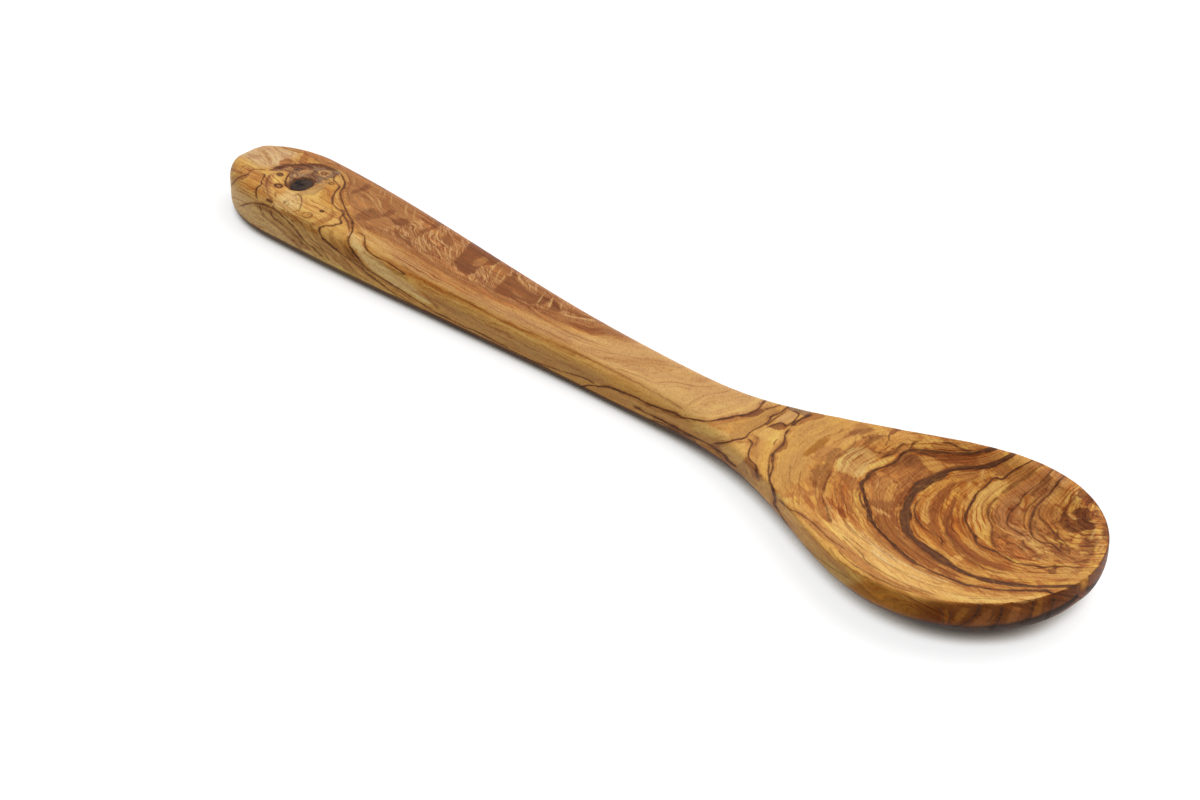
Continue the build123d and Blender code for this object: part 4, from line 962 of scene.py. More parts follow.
    (0.18, 0.55, [(246.1, -28.9), (249.4, -31), (252.8, -32.2), (257.2, -33), (262.8, -33.2),
        (268, -33)]),
    (0.16, 0.45, [(241.7, -14), (245, -15.8), (248.3, -17.5), (252, -18.9), (257, -20.6),
        (262, -21.6)]),
    (0.16, 0.4, [(264, -22), (272, -22.6), (280, -21.6), (288, -18)]),
    (0.16, 0.4, [(268, -26), (274, -25.6), (279, -24)]),
    (0.2, 0.45, [(236, -31.2), (244, -33.6), (252, -35.4), (260, -36.2)]),
    (0.18, 0.45, [(240, -34.6), (250, -37.8), (262, -39.4)]),
    # rusty streaks beside the flame and on the neck
    (0.16, 0.4, [(60, -3.6), (70, -4.4), (84, -5.4), (98, -5.6), (112, -4.4)]),
    (0.14, 0.38, [(76, -2.2), (84, -3), (94, -3.8), (104, -2.8)]),
    (0.18, 0.42, [(131, 1), (137, 2), (143, 4.4)]),
    (0.16, 0.4, [(122, 4.6), (128, 5.4), (133, 7)]),
    (0.14, 0.36, [(141, -4.5), (146, -2.8), (152, -0.2), (158, 3), (163, 6)]),
    (0.14, 0.36, [(146, -5.4), (152, -2.8), (157, 0.2), (162, 3.4), (168, 6.4)]),
    (0.12, 0.32, [(150, -6.4), (156, -4.6), (161, -2), (165, 1.4), (170, 5)]),
    (0.16, 0.42, [(153, -6.6), (160, -5), (166, -4.5), (168, -1.8), (171, 0), (175, 1.6),
        (178, 4.4), (180, 7)]),
    (0.14, 0.36, [(168.2, -6.6), (169.6, -4), (171.8, -1.6), (176, 0)]),
    (0.14, 0.38, [(180.2, -8), (179.2, -5), (179.2, -2), (180, 1), (181.6, 3.6), (183, 7)]),
    (0.12, 0.32, [(184.4, -8.4), (182.6, -5.4), (182.4, -2), (183.6, 1.6)]),
    (0.16, 0.42, [(228.5, -3), (230.2, -6), (233.4, -9.6), (237.4, -12.8), (242, -15)]),
    (0.16, 0.45, [(233.6, -5), (235.6, -8), (238.4, -10.6), (242, -12.6), (246.6, -14.6)]),
    (0.14, 0.4, [(225.6, -9), (229, -14), (233.6, -18), (238, -20.6), (244, -22)]),
    (0.18, 0.4, [(243, -19.6), (250, -20.6), (257, -22), (264, -23.4)]),
    (0.14, 0.4, [(262, -25.4), (270, -26.2), (278, -25.4), (286, -22), (291, -18)]),
    # pale streaks, which have a negative strength
    (0.14, -0.55, [(45.3, 11.8), (47, 9.9), (47.5, 8.4)]),
    (0.12, -0.5, [(47, 11.8), (48.6, 10.2), (49.4, 8.6)]),
    (0.14, -0.55, [(44, 8.6), (46, 7.5), (49, 7.1), (51.5, 5.6), (54, 4.2)]),
    (0.12, -0.5, [(46, 6.2), (49.5, 5.3), (53, 3.7), (55.5, 2.7)]),
    (0.12, -0.45, [(44, 4.6), (47, 3.4), (50, 1.5), (52.5, 0.5)]),
    (0.14, -0.55, [(56.5, 11.5), (57.8, 9.5), (59.6, 7.8), (61.8, 6.5)]),
    (0.12, -0.5, [(59.5, 11.5), (61.4, 9.4), (63.2, 7.4), (65, 6.3)]),
    (0.12, -0.5, [(50, 11.6), (52, 9.2), (54, 7.5)]),
    (0.14, -0.7, [(63.8, 5.2), (65, 6.8), (66.6, 6.8), (67.8, 5.4), (69, 3.4)]),
    (0.12, -0.7, [(64.6, 4), (65.6, 5.4), (66.8, 4.8), (67.6, 3.4), (69, 2.3)]),
    (0.12, -0.6, [(64.8, 2.6), (66, 3.5), (66.8, 2.5)]),
    (0.14, -0.6, [(61.8, -0.2), (62.9, 0.2), (64, 0.5)]),
    (0.15, -0.7, [(65, -0.4), (67, -0.9), (68.2, -1.5), (70.6, -1.3)]),
    (0.14, -0.75, [(71.2, 7.4), (72.2, 5.2), (74, 3.5), (76.5, 2.6), (79, 2.9)]),
    (0.12, -0.7, [(72, 9), (73.6, 6.2), (76, 4.6), (78.6, 4.2)]),
    (0.12, -0.6, [(73.5, 10.5), (74.4, 7.8), (76, 6)]),
    (0.15, -0.75, [(70.6, 4.8), (71.8, 2.9), (74.4, 1.2), (77, 0.1), (78.6, -0.6)]),
    (0.14, -0.7, [(70.2, 3.2), (71.4, 1.5), (73.8, -0.5), (76.2, -1.4), (77.6, -1.6)]),
    (0.14, -0.75, [(79, 4.6), (80.8, 2.4), (83, 0.8), (85.8, -0.7)]),
    (0.14, -0.7, [(80.6, 5), (82.4, 2.8), (84.6, 0.9), (86, -0.4)]),
    (0.12, -0.65, [(77.6, 1.8), (80, 0.6), (82, -0.4), (84, -1.1)]),
    (0.12, -0.6, [(82.4, 6.4), (83.8, 4.2), (85, 2.4)]),
    (0.14, -0.55, [(74.8, -2.6), (77.6, -3.3), (80, -3.2), (82.4, -3.9), (84.4, -4)]),
    (0.15, -0.75, [(93.3, -0.3), (95.6, -0.8), (97.8, -1.5)]),
    (0.15, -0.75, [(93.8, -1.4), (95.6, -2.6), (98.2, -3.3)]),
    (0.14, -0.6, [(94.6, 1.8), (97, 1.2), (99.4, 0), (101.4, -0.8)]),
    (0.13, -0.6, [(95.4, 8.6), (96.2, 5.8), (97.4, 3.4), (99.2, 1.6)]),
    (0.14, -0.55, [(98.2, 7.8), (99, 5.2), (100.4, 3), (101.8, 0.8)]),
    (0.13, -0.6, [(100.8, 6), (102, 3.6), (103, 1.6)]),
    (0.14, -0.6, [(103.4, 8.4), (105.4, 6.9), (108.4, 5.8), (111, 5.4)]),
    (0.12, -0.5, [(107, 8), (109.4, 6.8), (112.6, 6.2)]),
    (0.16, -0.75, [(115, 6.4), (116, 4), (116.7, 2.4), (117.6, 1.4)]),
    (0.18, -0.8, [(117.6, 7.2), (119, 5), (120.4, 3.2), (121.2, 1.8)]),
    (0.14, -0.7, [(119.2, 1.2), (120.6, 1.4), (121.9, 1.5)]),
    (0.14, -0.6, [(121.4, 7), (122.8, 4.8), (124, 3.8)]),
    (0.18, -0.75, [(124.6, 2.6), (127, 3.2), (129.4, 4), (132.4, 5.8), (135.6, 7)]),
    (0.14, -0.5, [(127.6, 6.4), (130, 6.8), (132.6, 8)]),
    (0.14, -0.6, [(146.6, -7), (151, -6.2), (156, -6.5), (160, -6.2)]),
    (0.12, -0.45, [(150, -5.4), (158, -4.8), (165, -4.9)]),
    (0.2, -0.45, [(79, -14.6), (81, -14.4), (83, -14.8)]),
    (0.16, -0.45, [(84, -15), (88, -15.2), (92, -15.6)]),
    (0.14, -0.5, [(14.4, 8.4), (14.8, 6), (16.6, 4.9), (18.4, 4.2)]),
    (0.12, -0.5, [(6, 5.4), (9, 4.6), (12, 2.6)]),
    (0.12, -0.5, [(7, 3.4), (10, 2.6), (12.6, 0.6)]),
    (0.12, -0.45, [(8, 1), (10.4, 0), (12.6, -2)]),
    (0.14, -0.5, [(31, 11), (33, 9.6), (35.4, 8.2), (37.4, 7.4)]),
    (0.12, -0.5, [(34.6, 10.8), (37, 9.2), (38.8, 7)]),
    (0.12, -0.45, [(43.6, 7.4), (47, 6.4), (50, 4.6)]),
    (0.12, -0.5, [(22, 10.6), (25, 11.6), (28, 11)]),
    (0.18, -0.7, [(238.5, 3.4), (239.6, 2.4), (240.8, 0.6)]),
    (0.16, -0.5, [(236.4, 1), (238, -1), (239.6, -3.6)]),
    (0.16, -0.55, [(251, 23.4), (253, 21.4), (255.4, 17.6)]),
    (0.16, -0.6, [(286.6, 27.6), (284.6, 25.6), (283, 24.6)]),
    (0.16, -0.6, [(288.6, 26.2), (287, 24.6), (285.6, 23.8)]),
    (0.16, -0.55, [(279.4, 24.8), (281.6, 24.4), (283, 25.6)]),
    (0.18, -0.75, [(289, 19.4), (290.4, 16.6), (291, 14.8), (292.4, 16.8), (293.2, 14.6),
        (293.8, 12.6), (295, 14.2), (296.4, 10.6)]),
    (0.16, -0.7, [(279.4, 19.9), (281, 19.6), (283, 18.6), (284.2, 20.4)]),
    (0.16, -0.6, [(291.6, 0.6), (293.4, 2.4), (295.8, 4.4)]),
    (0.16, -0.6, [(293.2, -1), (295.4, 0.8), (297.8, 2.4)]),
    (0.14, -0.5, [(284.6, -0.8), (288, -0.2), (290.6, -1.4)]),
    (0.14, -0.55, [(277.6, 1.8), (281, 1.2), (284.4, -0.2)]),
    (0.14, -0.5, [(279.8, 4.2), (282.4, 3.6), (285.6, 2.4)]),
    (0.2, -0.5, [(258, -26.6), (266, -27.9), (274, -27.8)]),
    (0.18, -0.5, [(240, -24.8), (246, -25.8), (252, -27.6)]),
    (0.18, -0.55, [(229.6, -12.6), (233.6, -15), (238.6, -18.4)]),
    (0.16, -0.45, [(224.6, 3), (226.4, 2.4), (229.4, 1.2)]),
    # fine lines between the neck and the bowl, on the flank and on the handle's near side
    (0.14, 0.42, [(217.5, 15), (218.6, 11), (218, 7), (218.6, 3)]),
    (0.14, 0.4, [(224.6, 12), (225, 8), (224.4, 4), (225, 0)]),
    (0.12, 0.36, [(226.2, 7), (226.8, 3), (226, -1.4)]),
    (0.12, 0.36, [(229.6, 6), (230, 2), (229, -2)]),
    (0.14, 0.42, [(212, 12), (212.6, 7), (212, 2), (213, -3)]),
    (0.14, 0.38, [(208.6, 10), (209, 5), (210, 1)]),
    (0.14, 0.45, [(216, -8), (220, -13.4), (225, -18)]),
    (0.14, 0.4, [(219.4, -8), (223, -13), (227.6, -18)]),
    (0.14, 0.42, [(236, -20.4), (243, -22.4), (250, -23.6), (256, -25)]),
    (0.12, 0.4, [(240, -24.6), (247, -26.2), (255, -28.4)]),
    (0.14, 0.45, [(258, -30), (266, -30.6), (274, -29.8), (280, -28)]),
    (0.14, 0.42, [(254, -24), (262, -25.4), (270, -24.9), (278, -23)]),
    (0.12, 0.38, [(250, -17.4), (258, -19.6), (266, -21.4), (274, -21.8)]),
    (0.16, 0.45, [(284, -24.6), (289, -20.6), (293.6, -16)]),
    (0.14, 0.4, [(280, -25.8), (286, -21.6), (291, -17)]),
    (0.14, 0.42, [(276, -13), (284, -12.4), (291, -8.6), (297, -3.6)]),
    (0.12, 0.4, [(274, -9.4), (282, -9.4), (289, -6.2), (295, -1.6)]),
    (0.14, 0.45, [(251.6, 14), (252.4, 9), (254.4, 4), (257.6, -1.4)]),
    (0.12, 0.4, [(249.8, 9), (250.6, 4), (253, -1), (256.4, -4.8)]),
    (0.14, 0.42, [(240.6, 12.4), (241, 7), (240, 2), (241.6, -4)]),
    (0.12, 0.4, [(243.4, 12), (243, 6), (243.4, 0), (246, -6)]),
    (0.12, 0.38, [(237.4, 6), (237, 1), (238.6, -4)]),
    (0.14, 0.45, [(257, 33), (256.8, 28), (256.2, 24)]),
    (0.14, 0.42, [(261, 20), (261.4, 14), (262.6, 9), (266, 4.4)]),
    (0.14, 0.42, [(274.6, 31), (275.4, 26), (277, 20), (279, 15)]),
    (0.12, 0.4, [(268.4, 25), (269, 20), (270, 15)]),
    (0.14, 0.48, [(45, -22.4), (52, -24), (58, -25)]),
    (0.16, 0.5, [(56, -20.8), (66, -23.4), (72, -24.4)]),
    (0.14, 0.42, [(40, -23), (48, -24.6)]),
    (0.14, 0.42, [(28, -21.6), (33, -22.8), (40, -24)]),
    (0.14, 0.4, [(58, -17), (68, -18.8), (80, -19.2)]),
    (0.12, 0.36, [(80, -16.4), (90, -17.8), (100, -18.6)]),
    (0.14, 0.38, [(84, -20.8), (98, -22), (110, -21.6)]),
    (0.14, -0.4, [(56, -19.8), (66, -21), (76, -22.4)]),
    (0.14, -0.35, [(44, -18.6), (52, -20.4), (58, -22)]),
    (0.14, -0.4, [(88, -21.6), (100, -22.2), (112, -21.6)]),
    # the bowl's wall at the tip
    (0.22, 0.8, [(284, -29.6), (286.4, -32.6), (288, -36.6)]),
    (0.2, 0.75, [(291, -22.4), (293.4, -26), (294, -30)]),
    (0.2, 0.8, [(297, -15.6), (299.4, -20), (300.4, -25)]),
    (0.4, 0.9, [(286.8, -24.4), (288.6, -24.6), (289.8, -26.8), (290.4, -29.6), (290, -33),
        (289, -36)]),
    (0.34, 0.92, [(292, -20.4), (294.4, -24), (296, -27.6), (296, -31)]),
    (0.34, 0.92, [(298.7, -9.6), (301, -13), (303, -17.5), (304, -21)]),
    (0.28, 0.85, [(296, -14), (299, -18), (301, -23)]),
    (0.28, 0.75, [(281, -30.6), (285, -33.4), (287.6, -36.8)]),
]

# small closed rings: middle s, t, half length, half width, half line width, strength
EYES = [
    (27.8, -2.5, 3, 3.7, 0.24, 0.8), (19.4, -3.1, 0.95, 0.75, 0.22, 0.8),
    (23.8, -7.6, 1.2, 0.75, 0.25, 0.9), (28.3, -14.8, 1.2, 0.34, 0.22, 0.8),
    (27.8, 6, 0.8, 0.7, 0.2, 0.65), (33.6, 3.7, 0.75, 0.65, 0.2, 0.65),
    (31, 4, 0.5, 0.45, 0.15, 0.5), (41.5, -12.7, 1.6, 1.35, 0.22, 0.55),
    (41.5, -12.7, 0.6, 0.5, 0.18, 0.5), (42.8, -8.4, 0.55, 0.4, 0.22, 0.8),
    (33.2, -11.2, 2.1, 1.9, 0.14, 0.3), (13.4, -0.6, 0.7, 0.6, 0.14, 0.3),
]

# dark filled specks: middle s, t, half length, half width, strength
SPECKS = [
    (19.4, -3.1, 0.9, 0.7, 0.85), (23.8, -7.6, 1.1, 0.7, 0.95), (28.3, -14.8, 1.1, 0.35, 0.8),
    (42.8, -8.4, 0.6, 0.4, 0.9), (27.9, 6, 0.45, 0.4, 0.7), (33.6, 3.7, 0.4, 0.35, 0.7),
    (42.5, -6.9, 0.35, 0.2, 0.6), (41.6, -12.6, 0.4, 0.3, 0.5), (33, -10.2, 0.3, 0.2, 0.7),
    (33.9, -10.8, 0.25, 0.2, 0.6), (32.2, -11.2, 0.25, 0.2, 0.6), (33.4, -12.2, 0.3, 0.22, 0.7),
    (32, -12.4, 0.35, 0.2, 0.7), (34, -12.6, 0.25, 0.18, 0.6), (31.4, -8, 0.4, 0.3, 0.6),
    (192.1, 6.7, 0.35, 0.25, 0.6),
]

# lines that the growth rings follow, each with its level, which rises to the right of its run
RINGS = [
    (-24, [(-10, 13), (60, 13), (110, 12), (135, 16)]),
    (-14, [(-10, 5), (40, 6), (80, 4), (110, 3.5), (125, 3), (140, 7), (150, 14)]),
    (-9, [(-10, 0), (15, -1), (30, 8), (40, 1.5), (52, -2), (80, -1), (110, -1), (130, -2.5),
        (142, -1), (152, 3), (160, 7), (166, 14)]),
    (-5, [(60, -6), (100, -5.5), (130, -5.8), (142, -4.6), (150, -1), (158, 2.5), (166, 6),
        (172, 12)]),
    (-2.5, [(130, -7.4), (150, -6.6), (160, -4.6), (166, -4.2), (169, -0.8), (174, 1), (178, 5),
        (181, 12)]),
    (0, [(-10, -9), (14, -7), (30, -9), (50, -8), (60, -9), (80, -10), (110, -9.5), (140, -7.9),
        (165, -7.2), (176, -7.6), (179.6, -7), (179.4, -2), (181, 2.6), (184, 8), (187, 14)]),
    (3, [(168, -9), (180, -9.2), (186, -7), (188.6, -3), (190, 2), (190.4, 8), (190, 14)]),
    (6, [(0, -16), (20, -14), (40, -15), (60, -14.5), (80, -16), (110, -16), (130, -16),
        (156, -14.4), (169, -12.8), (182, -11.4), (189, -7.3), (193.4, 1), (193, 14)]),
    (12, [(0, -24), (30, -20), (50, -22), (80, -22.5), (110, -20.6), (150, -19), (175, -17.6),
        (196, -15), (199.4, -8), (199.4, 2), (198.4, 14)]),
    (15, [(0, -32), (60, -28), (110, -24), (150, -21), (185, -20.5), (205, -21.5), (225, -28),
        (250, -38), (280, -44)]),
    (22, [(226, -25), (220, -19.6), (215, -14.2), (210, -7.6), (206, 1), (204.7, 8), (205.4, 16)]),
    (30, [(290, -46), (262, -36), (250, -32.6), (240, -28), (228, -21), (220, -12), (214, -2),
        (213, 8), (214, 18)]),
    (37, [(305, -26), (284, -28), (268, -28.9), (252, -25.5), (240, -21), (230, -12), (225, -2),
        (223, 8), (223, 24)]),
    (46, [(310, -4), (298.5, -9.3), (288, -16.4), (276, -20.3), (262, -19.9), (248, -14.8),
        (239, -7.1), (234, 0), (234.4, 10), (234.4, 16), (243, 22.1), (248, 28), (250, 38)]),
    (60, [(306, 2), (298.5, -5.4), (290, -11.6), (278, -16.1), (266.8, -14.7), (256.7, -12),
        (249.4, -3.4), (246.4, 6.6), (247, 15), (253, 23.8), (254, 38)]),
    (73, [(306, 10), (296, 3), (288, -3), (280, -4.7), (270, -3), (262, 3.6), (258.4, 12),
        (258.6, 26), (260, 38)]),
    (80, [(304, 14), (292, 5), (284, 5), (274, 4), (267, 7), (264, 14), (264, 26), (263, 38)]),
    (86, [(300, 18), (290, 9), (281, 9.6), (275, 14), (272, 22), (270, 38)]),
    (94, [(298, 26), (288, 18), (283, 20), (279, 28), (277, 38)]),
]

# areas of special figure: softness of the edge, outline
FLAME = (4, [(40, 1), (52, -3), (66, -3.5), (90, -4), (104, -3), (120, 0), (134, 5), (146, 8),
    (150, 16), (34, 18)])
HATCH = (8, [(224, 20), (222, -16), (240, -28), (262, -34), (284, -30), (300, -8), (300, 8),
    (290, 26), (262, 36), (238, 30)])
STAIN = (2, [(15, -4), (15.6, 3), (21, 8.6), (31, 10), (31.6, 2), (25, -0.4), (20, -1)])
BUSY = (3, [(272, -3), (286, -4), (298, 2), (299, 9), (292, 22), (284, 30), (276, 30), (278, 14)])

# patches softer than this are blended at the points, and the others wait for the layers
SOFTEST = 1.95
ROOM = 4.0          # how far from a patch's edge the distance to it is measured, in millimetres
HELD_OUT = 3.0      # how far it is kept, as a multiple of the softness
tint = np.ones((len(places), 1)) * pigment(GOLD)
crisp = []
for colour, strength, soft, points in PATCHES:
    signed = depth_inside(points, ROOM) / soft
    if soft > SOFTEST:
        tint = blend(tint, pigment(colour), strength * ease(0.5 + 0.5 * signed)[:, None])
    else:
        crisp.append((pigment(colour), strength, np.clip(signed, -HELD_OUT, HELD_OUT)))

# the wall at the tip is end grain, which drinks more oil and is darker; the darkening is partly
# painted shade
below_top = ((np.arange(z.shape[1]) >= TOP_POINTS) * np.ones_like(z)).ravel()
end_grain_and_shade = ease((places[:, 0] - 272) / 15) * ease((reach.ravel() - 262) / 8) * below_top
tint = blend(tint, pigment(EMBER_AND_SHADE), 0.88 * end_grain_and_shade[:, None])

for middle_s, middle_t, long, wide, strength in SPECKS:
    away = np.hypot((places[:, 0] - middle_s) / long, (places[:, 1] - middle_t) / wide)
    tint = blend(tint, pigment(SPECK), strength * ease((1.35 - away) / 0.7)[:, None])

# each layer of crisp patches holds those that keep clear of each other, later ones higher up
PATCH_LAYERS = 6
TOUCHING = -1.2     # patches touch where both are held above this
patch_layers = [[tint.copy(), np.full(len(places), -HELD_OUT)] for _ in range(PATCH_LAYERS)]
under = tint.copy()
for colour, strength, signed in crisp:
    touched = signed > TOUCHING
    level = 0
    for index, (_, held) in enumerate(patch_layers):
        if np.any(held[touched] > TOUCHING):
            level = min(index + 1, PATCH_LAYERS - 1)
    shades, held = patch_layers[level]
    closer = signed > held
    shades[closer] = blend(under[closer], colour, strength)
    held[closer] = signed[closer]
    under = blend(under, colour, strength * ease(0.5 + signed)[:, None])

# the growth rings' level at every point, from the lines round it
level_sum = weight_sum = 0
for level, points in RINGS:
    distance, side, _ = near(smooth_line(points, 4.0), 400)
    weight = 1 / (distance**2 + 0.8) ** 1.5
    level_sum = level_sum + weight * (level + side * distance)
    weight_sum = weight_sum + weight
rings = level_sum / weight_sum

lines = [(half, strength, smooth_line(points), False) for half, strength, points in VEINS]
circle = np.linspace(0, 2 * np.pi, 25)
for middle_s, middle_t, long, wide, half, strength in EYES:
    ring = np.stack([middle_s + long * np.cos(circle), middle_t + wide * np.sin(circle)], axis=1)
    lines.append((half, strength, ring, True))

# each layer holds lines that keep clear of each other, so a point knows its one nearest line
LAYERS = 7
CLEAR = 2.4         # least clearance between the edges of two lines of one layer
LINE_ROOM, LINE_KEPT = 2.8, 1.8     # how far beside a line the distance is measured and kept
layers = [[] for _ in range(LAYERS)]
for half, strength, line, closed in sorted(lines, key=lambda entry: -len(entry[2])):
    room = []
    for layer in layers:
        gaps = [clearance(line, other[2]) - np.max(half) - np.max(other[0]) for other in layer]
        room.append(min(gaps, default=1e3))
    best = next((index for index, free in enumerate(room) if free > CLEAR), int(np.argmax(room)))
    layers[best].append((half, strength, line, closed))

vein_layers = []
for layer in layers:
    offset = np.full(len(places), 50.0)
    width, ink = np.zeros(len(places)), np.zeros(len(places))
    nearest = np.full(len(places), 1e6)
    for half, strength, line, closed in layer:
        distance, side, share = near(line, np.max(half) + LINE_ROOM)
        half = np.interp(share, np.linspace(0, 1, np.size(half)), np.atleast_1d(half))
        kept = half + LINE_KEPT
        length = np.hypot(*(line[1:] - line[:-1]).T).sum()
        along = share * length
        taper = 1 if closed else ease(along / 2.0) * ease((1 - share) * length / 2.0)
        swell = 1 + 0.25 * np.sin(along / 2.9 + length) + 0.15 * np.sin(along / 1.1)
        closer = (distance - half < nearest) & (distance < kept)
        nearest[closer] = (distance - half)[closer]
        offset[closer] = (side * distance)[closer]
        width[closer] = (half * swell * taper)[closer]
        ink[closer] = (strength * ease(kept - distance) * blend(0.35, 1, taper))[closer]
    vein_layers.append(np.stack([offset, width, ink], axis=1))

flame, hatch, stain, busy = (zone_share(*zone) for zone in (FLAME, HATCH, STAIN, BUSY))


# Meshes


def mesh_object(name, points, faces, smooth=True):
    mesh = bpy.data.meshes.new(name)
    mesh.from_pydata([tuple(point) for point in points], [], faces)
    mesh.polygons.foreach_set("use_smooth", [smooth] * len(mesh.polygons))
    mesh.update()
    piece = bpy.data.objects.new(name, mesh)
    bpy.context.scene.collection.objects.link(piece)
    return piece


def tube_faces(rows, columns):
    """Quads of a closed tube of outlines, and one face over each end."""
    faces = []
    for row in range(rows - 1):
        a, b = row * columns, (row + 1) * columns
        for column in range(columns):
            after = (column + 1) % columns
            faces.append((a + column, b + column, b + after, a + after))
    faces.append(tuple(range(columns)))
    faces.append(tuple(reversed(range((rows - 1) * columns, rows * columns))))
    return faces


def add_vectors(piece, name, *columns):
    attribute = piece.data.attributes.new(name, "FLOAT_VECTOR", "POINT")
    attribute.data.foreach_set("vector", np.column_stack(columns).astype(np.float32).ravel())


def add_colours(piece, name, colours, alpha):
    attribute = piece.data.attributes.new(name, "FLOAT_COLOR", "POINT")
    values = np.column_stack([colours, alpha]).astype(np.float32)
    attribute.data.foreach_set("color", values.ravel())


points = np.stack([reach.ravel() - LENGTH / 2, y.ravel(), z.ravel()], axis=1) * MM
spoon = mesh_object("spoon_wood", points, tube_faces(*y.shape))
add_vectors(spoon, "figure", places, rings)
add_vectors(spoon, "zones", flame, hatch, np.maximum(busy, stain))
for index, layer in enumerate(vein_layers):
    add_vectors(spoon, f"veins_{index}", layer)
# the tint's alpha holds the painted shade of the turn into the underside
add_colours(spoon, "tint", tint, turn_painted_shade.ravel())
for index, (shades, held) in enumerate(patch_layers):
    add_colours(spoon, f"patches_{index}", shades, held)

# The knot's plug, in millimetres
KNOT_AROUND, KNOT_RINGS = 72, 16
PLUG_SINK, PLUG_EDGE, CRACK_DEPTH, CRACK_WIDTH, CRUMPLE = 0.16, 0.14, 0.24, 0.16, 0.05
PLUG_WALL, PLUG_FOOT, PLUG_MIDDLE, PLUG_TAPER = 2.2, 2.6, 0.28, 0.93


def knot_mesh():
    """The dead knot's plug: a crumpled oval top with a crack across, on a short tapered wall."""
    turn = np.linspace(0, 2 * np.pi, KNOT_AROUND, endpoint=False)
    wobble = 1 + 0.012 * np.sin(5 * turn + 1) + 0.010 * np.sin(9 * turn + 2)
    crest = crest_height(np.array(KNOT_REACH))
    bumps = np.random.default_rng(11).uniform(-1, 1, 6)
    loops = []
    for ring in range(KNOT_RINGS):
        out = 1 - ring / KNOT_RINGS
        x = KNOT_LENGTH / 2 * out * np.cos(turn) * wobble
        across = KNOT_WIDTH / 2 * out * np.sin(turn) * wobble
        edge = PLUG_EDGE * ease((out - 0.86) / 0.14)
        crack_way = (across - 0.35 * x + 0.2) / CRACK_WIDTH
        crack = CRACK_DEPTH * np.exp(-(crack_way**2)) * ease((1 - out) / 0.25)
        rough = bumps[0] * np.sin(3.1 * x + 2 * across) + bumps[1] * np.sin(5.3 * across - x)
        rough += bumps[2] * np.sin(7.0 * x + bumps[3]) * np.cos(6.0 * across + bumps[4])
        height = crest - PLUG_SINK - edge - crack + CRUMPLE * rough * out
        loops.append(np.stack([x, across, height * np.ones_like(x)], axis=1))
    wall = loops[0] * (PLUG_TAPER, PLUG_TAPER, 1) - (0, 0, PLUG_WALL)
    ends = [(0, 0, crest - PLUG_MIDDLE), (0, 0, crest - PLUG_FOOT)]
    points = np.concatenate([wall, *loops, ends]) + (KNOT_REACH - LENGTH / 2, -KNOT_OFFSET, 0)
    faces = []
    last = KNOT_RINGS * KNOT_AROUND
    for a in range(0, last, KNOT_AROUND):
        b = a + KNOT_AROUND
        for column in range(KNOT_AROUND):
            after = (column + 1) % KNOT_AROUND
            faces.append((a + column, a + after, b + after, b + column))
    for column in range(KNOT_AROUND):
        after = (column + 1) % KNOT_AROUND
        faces.append((last + column, last + after, len(points) - 2))
        faces.append((after, column, len(points) - 1))
    return mesh_object("knot_plug", points * MM, faces)


knot = knot_mesh()


# Materials


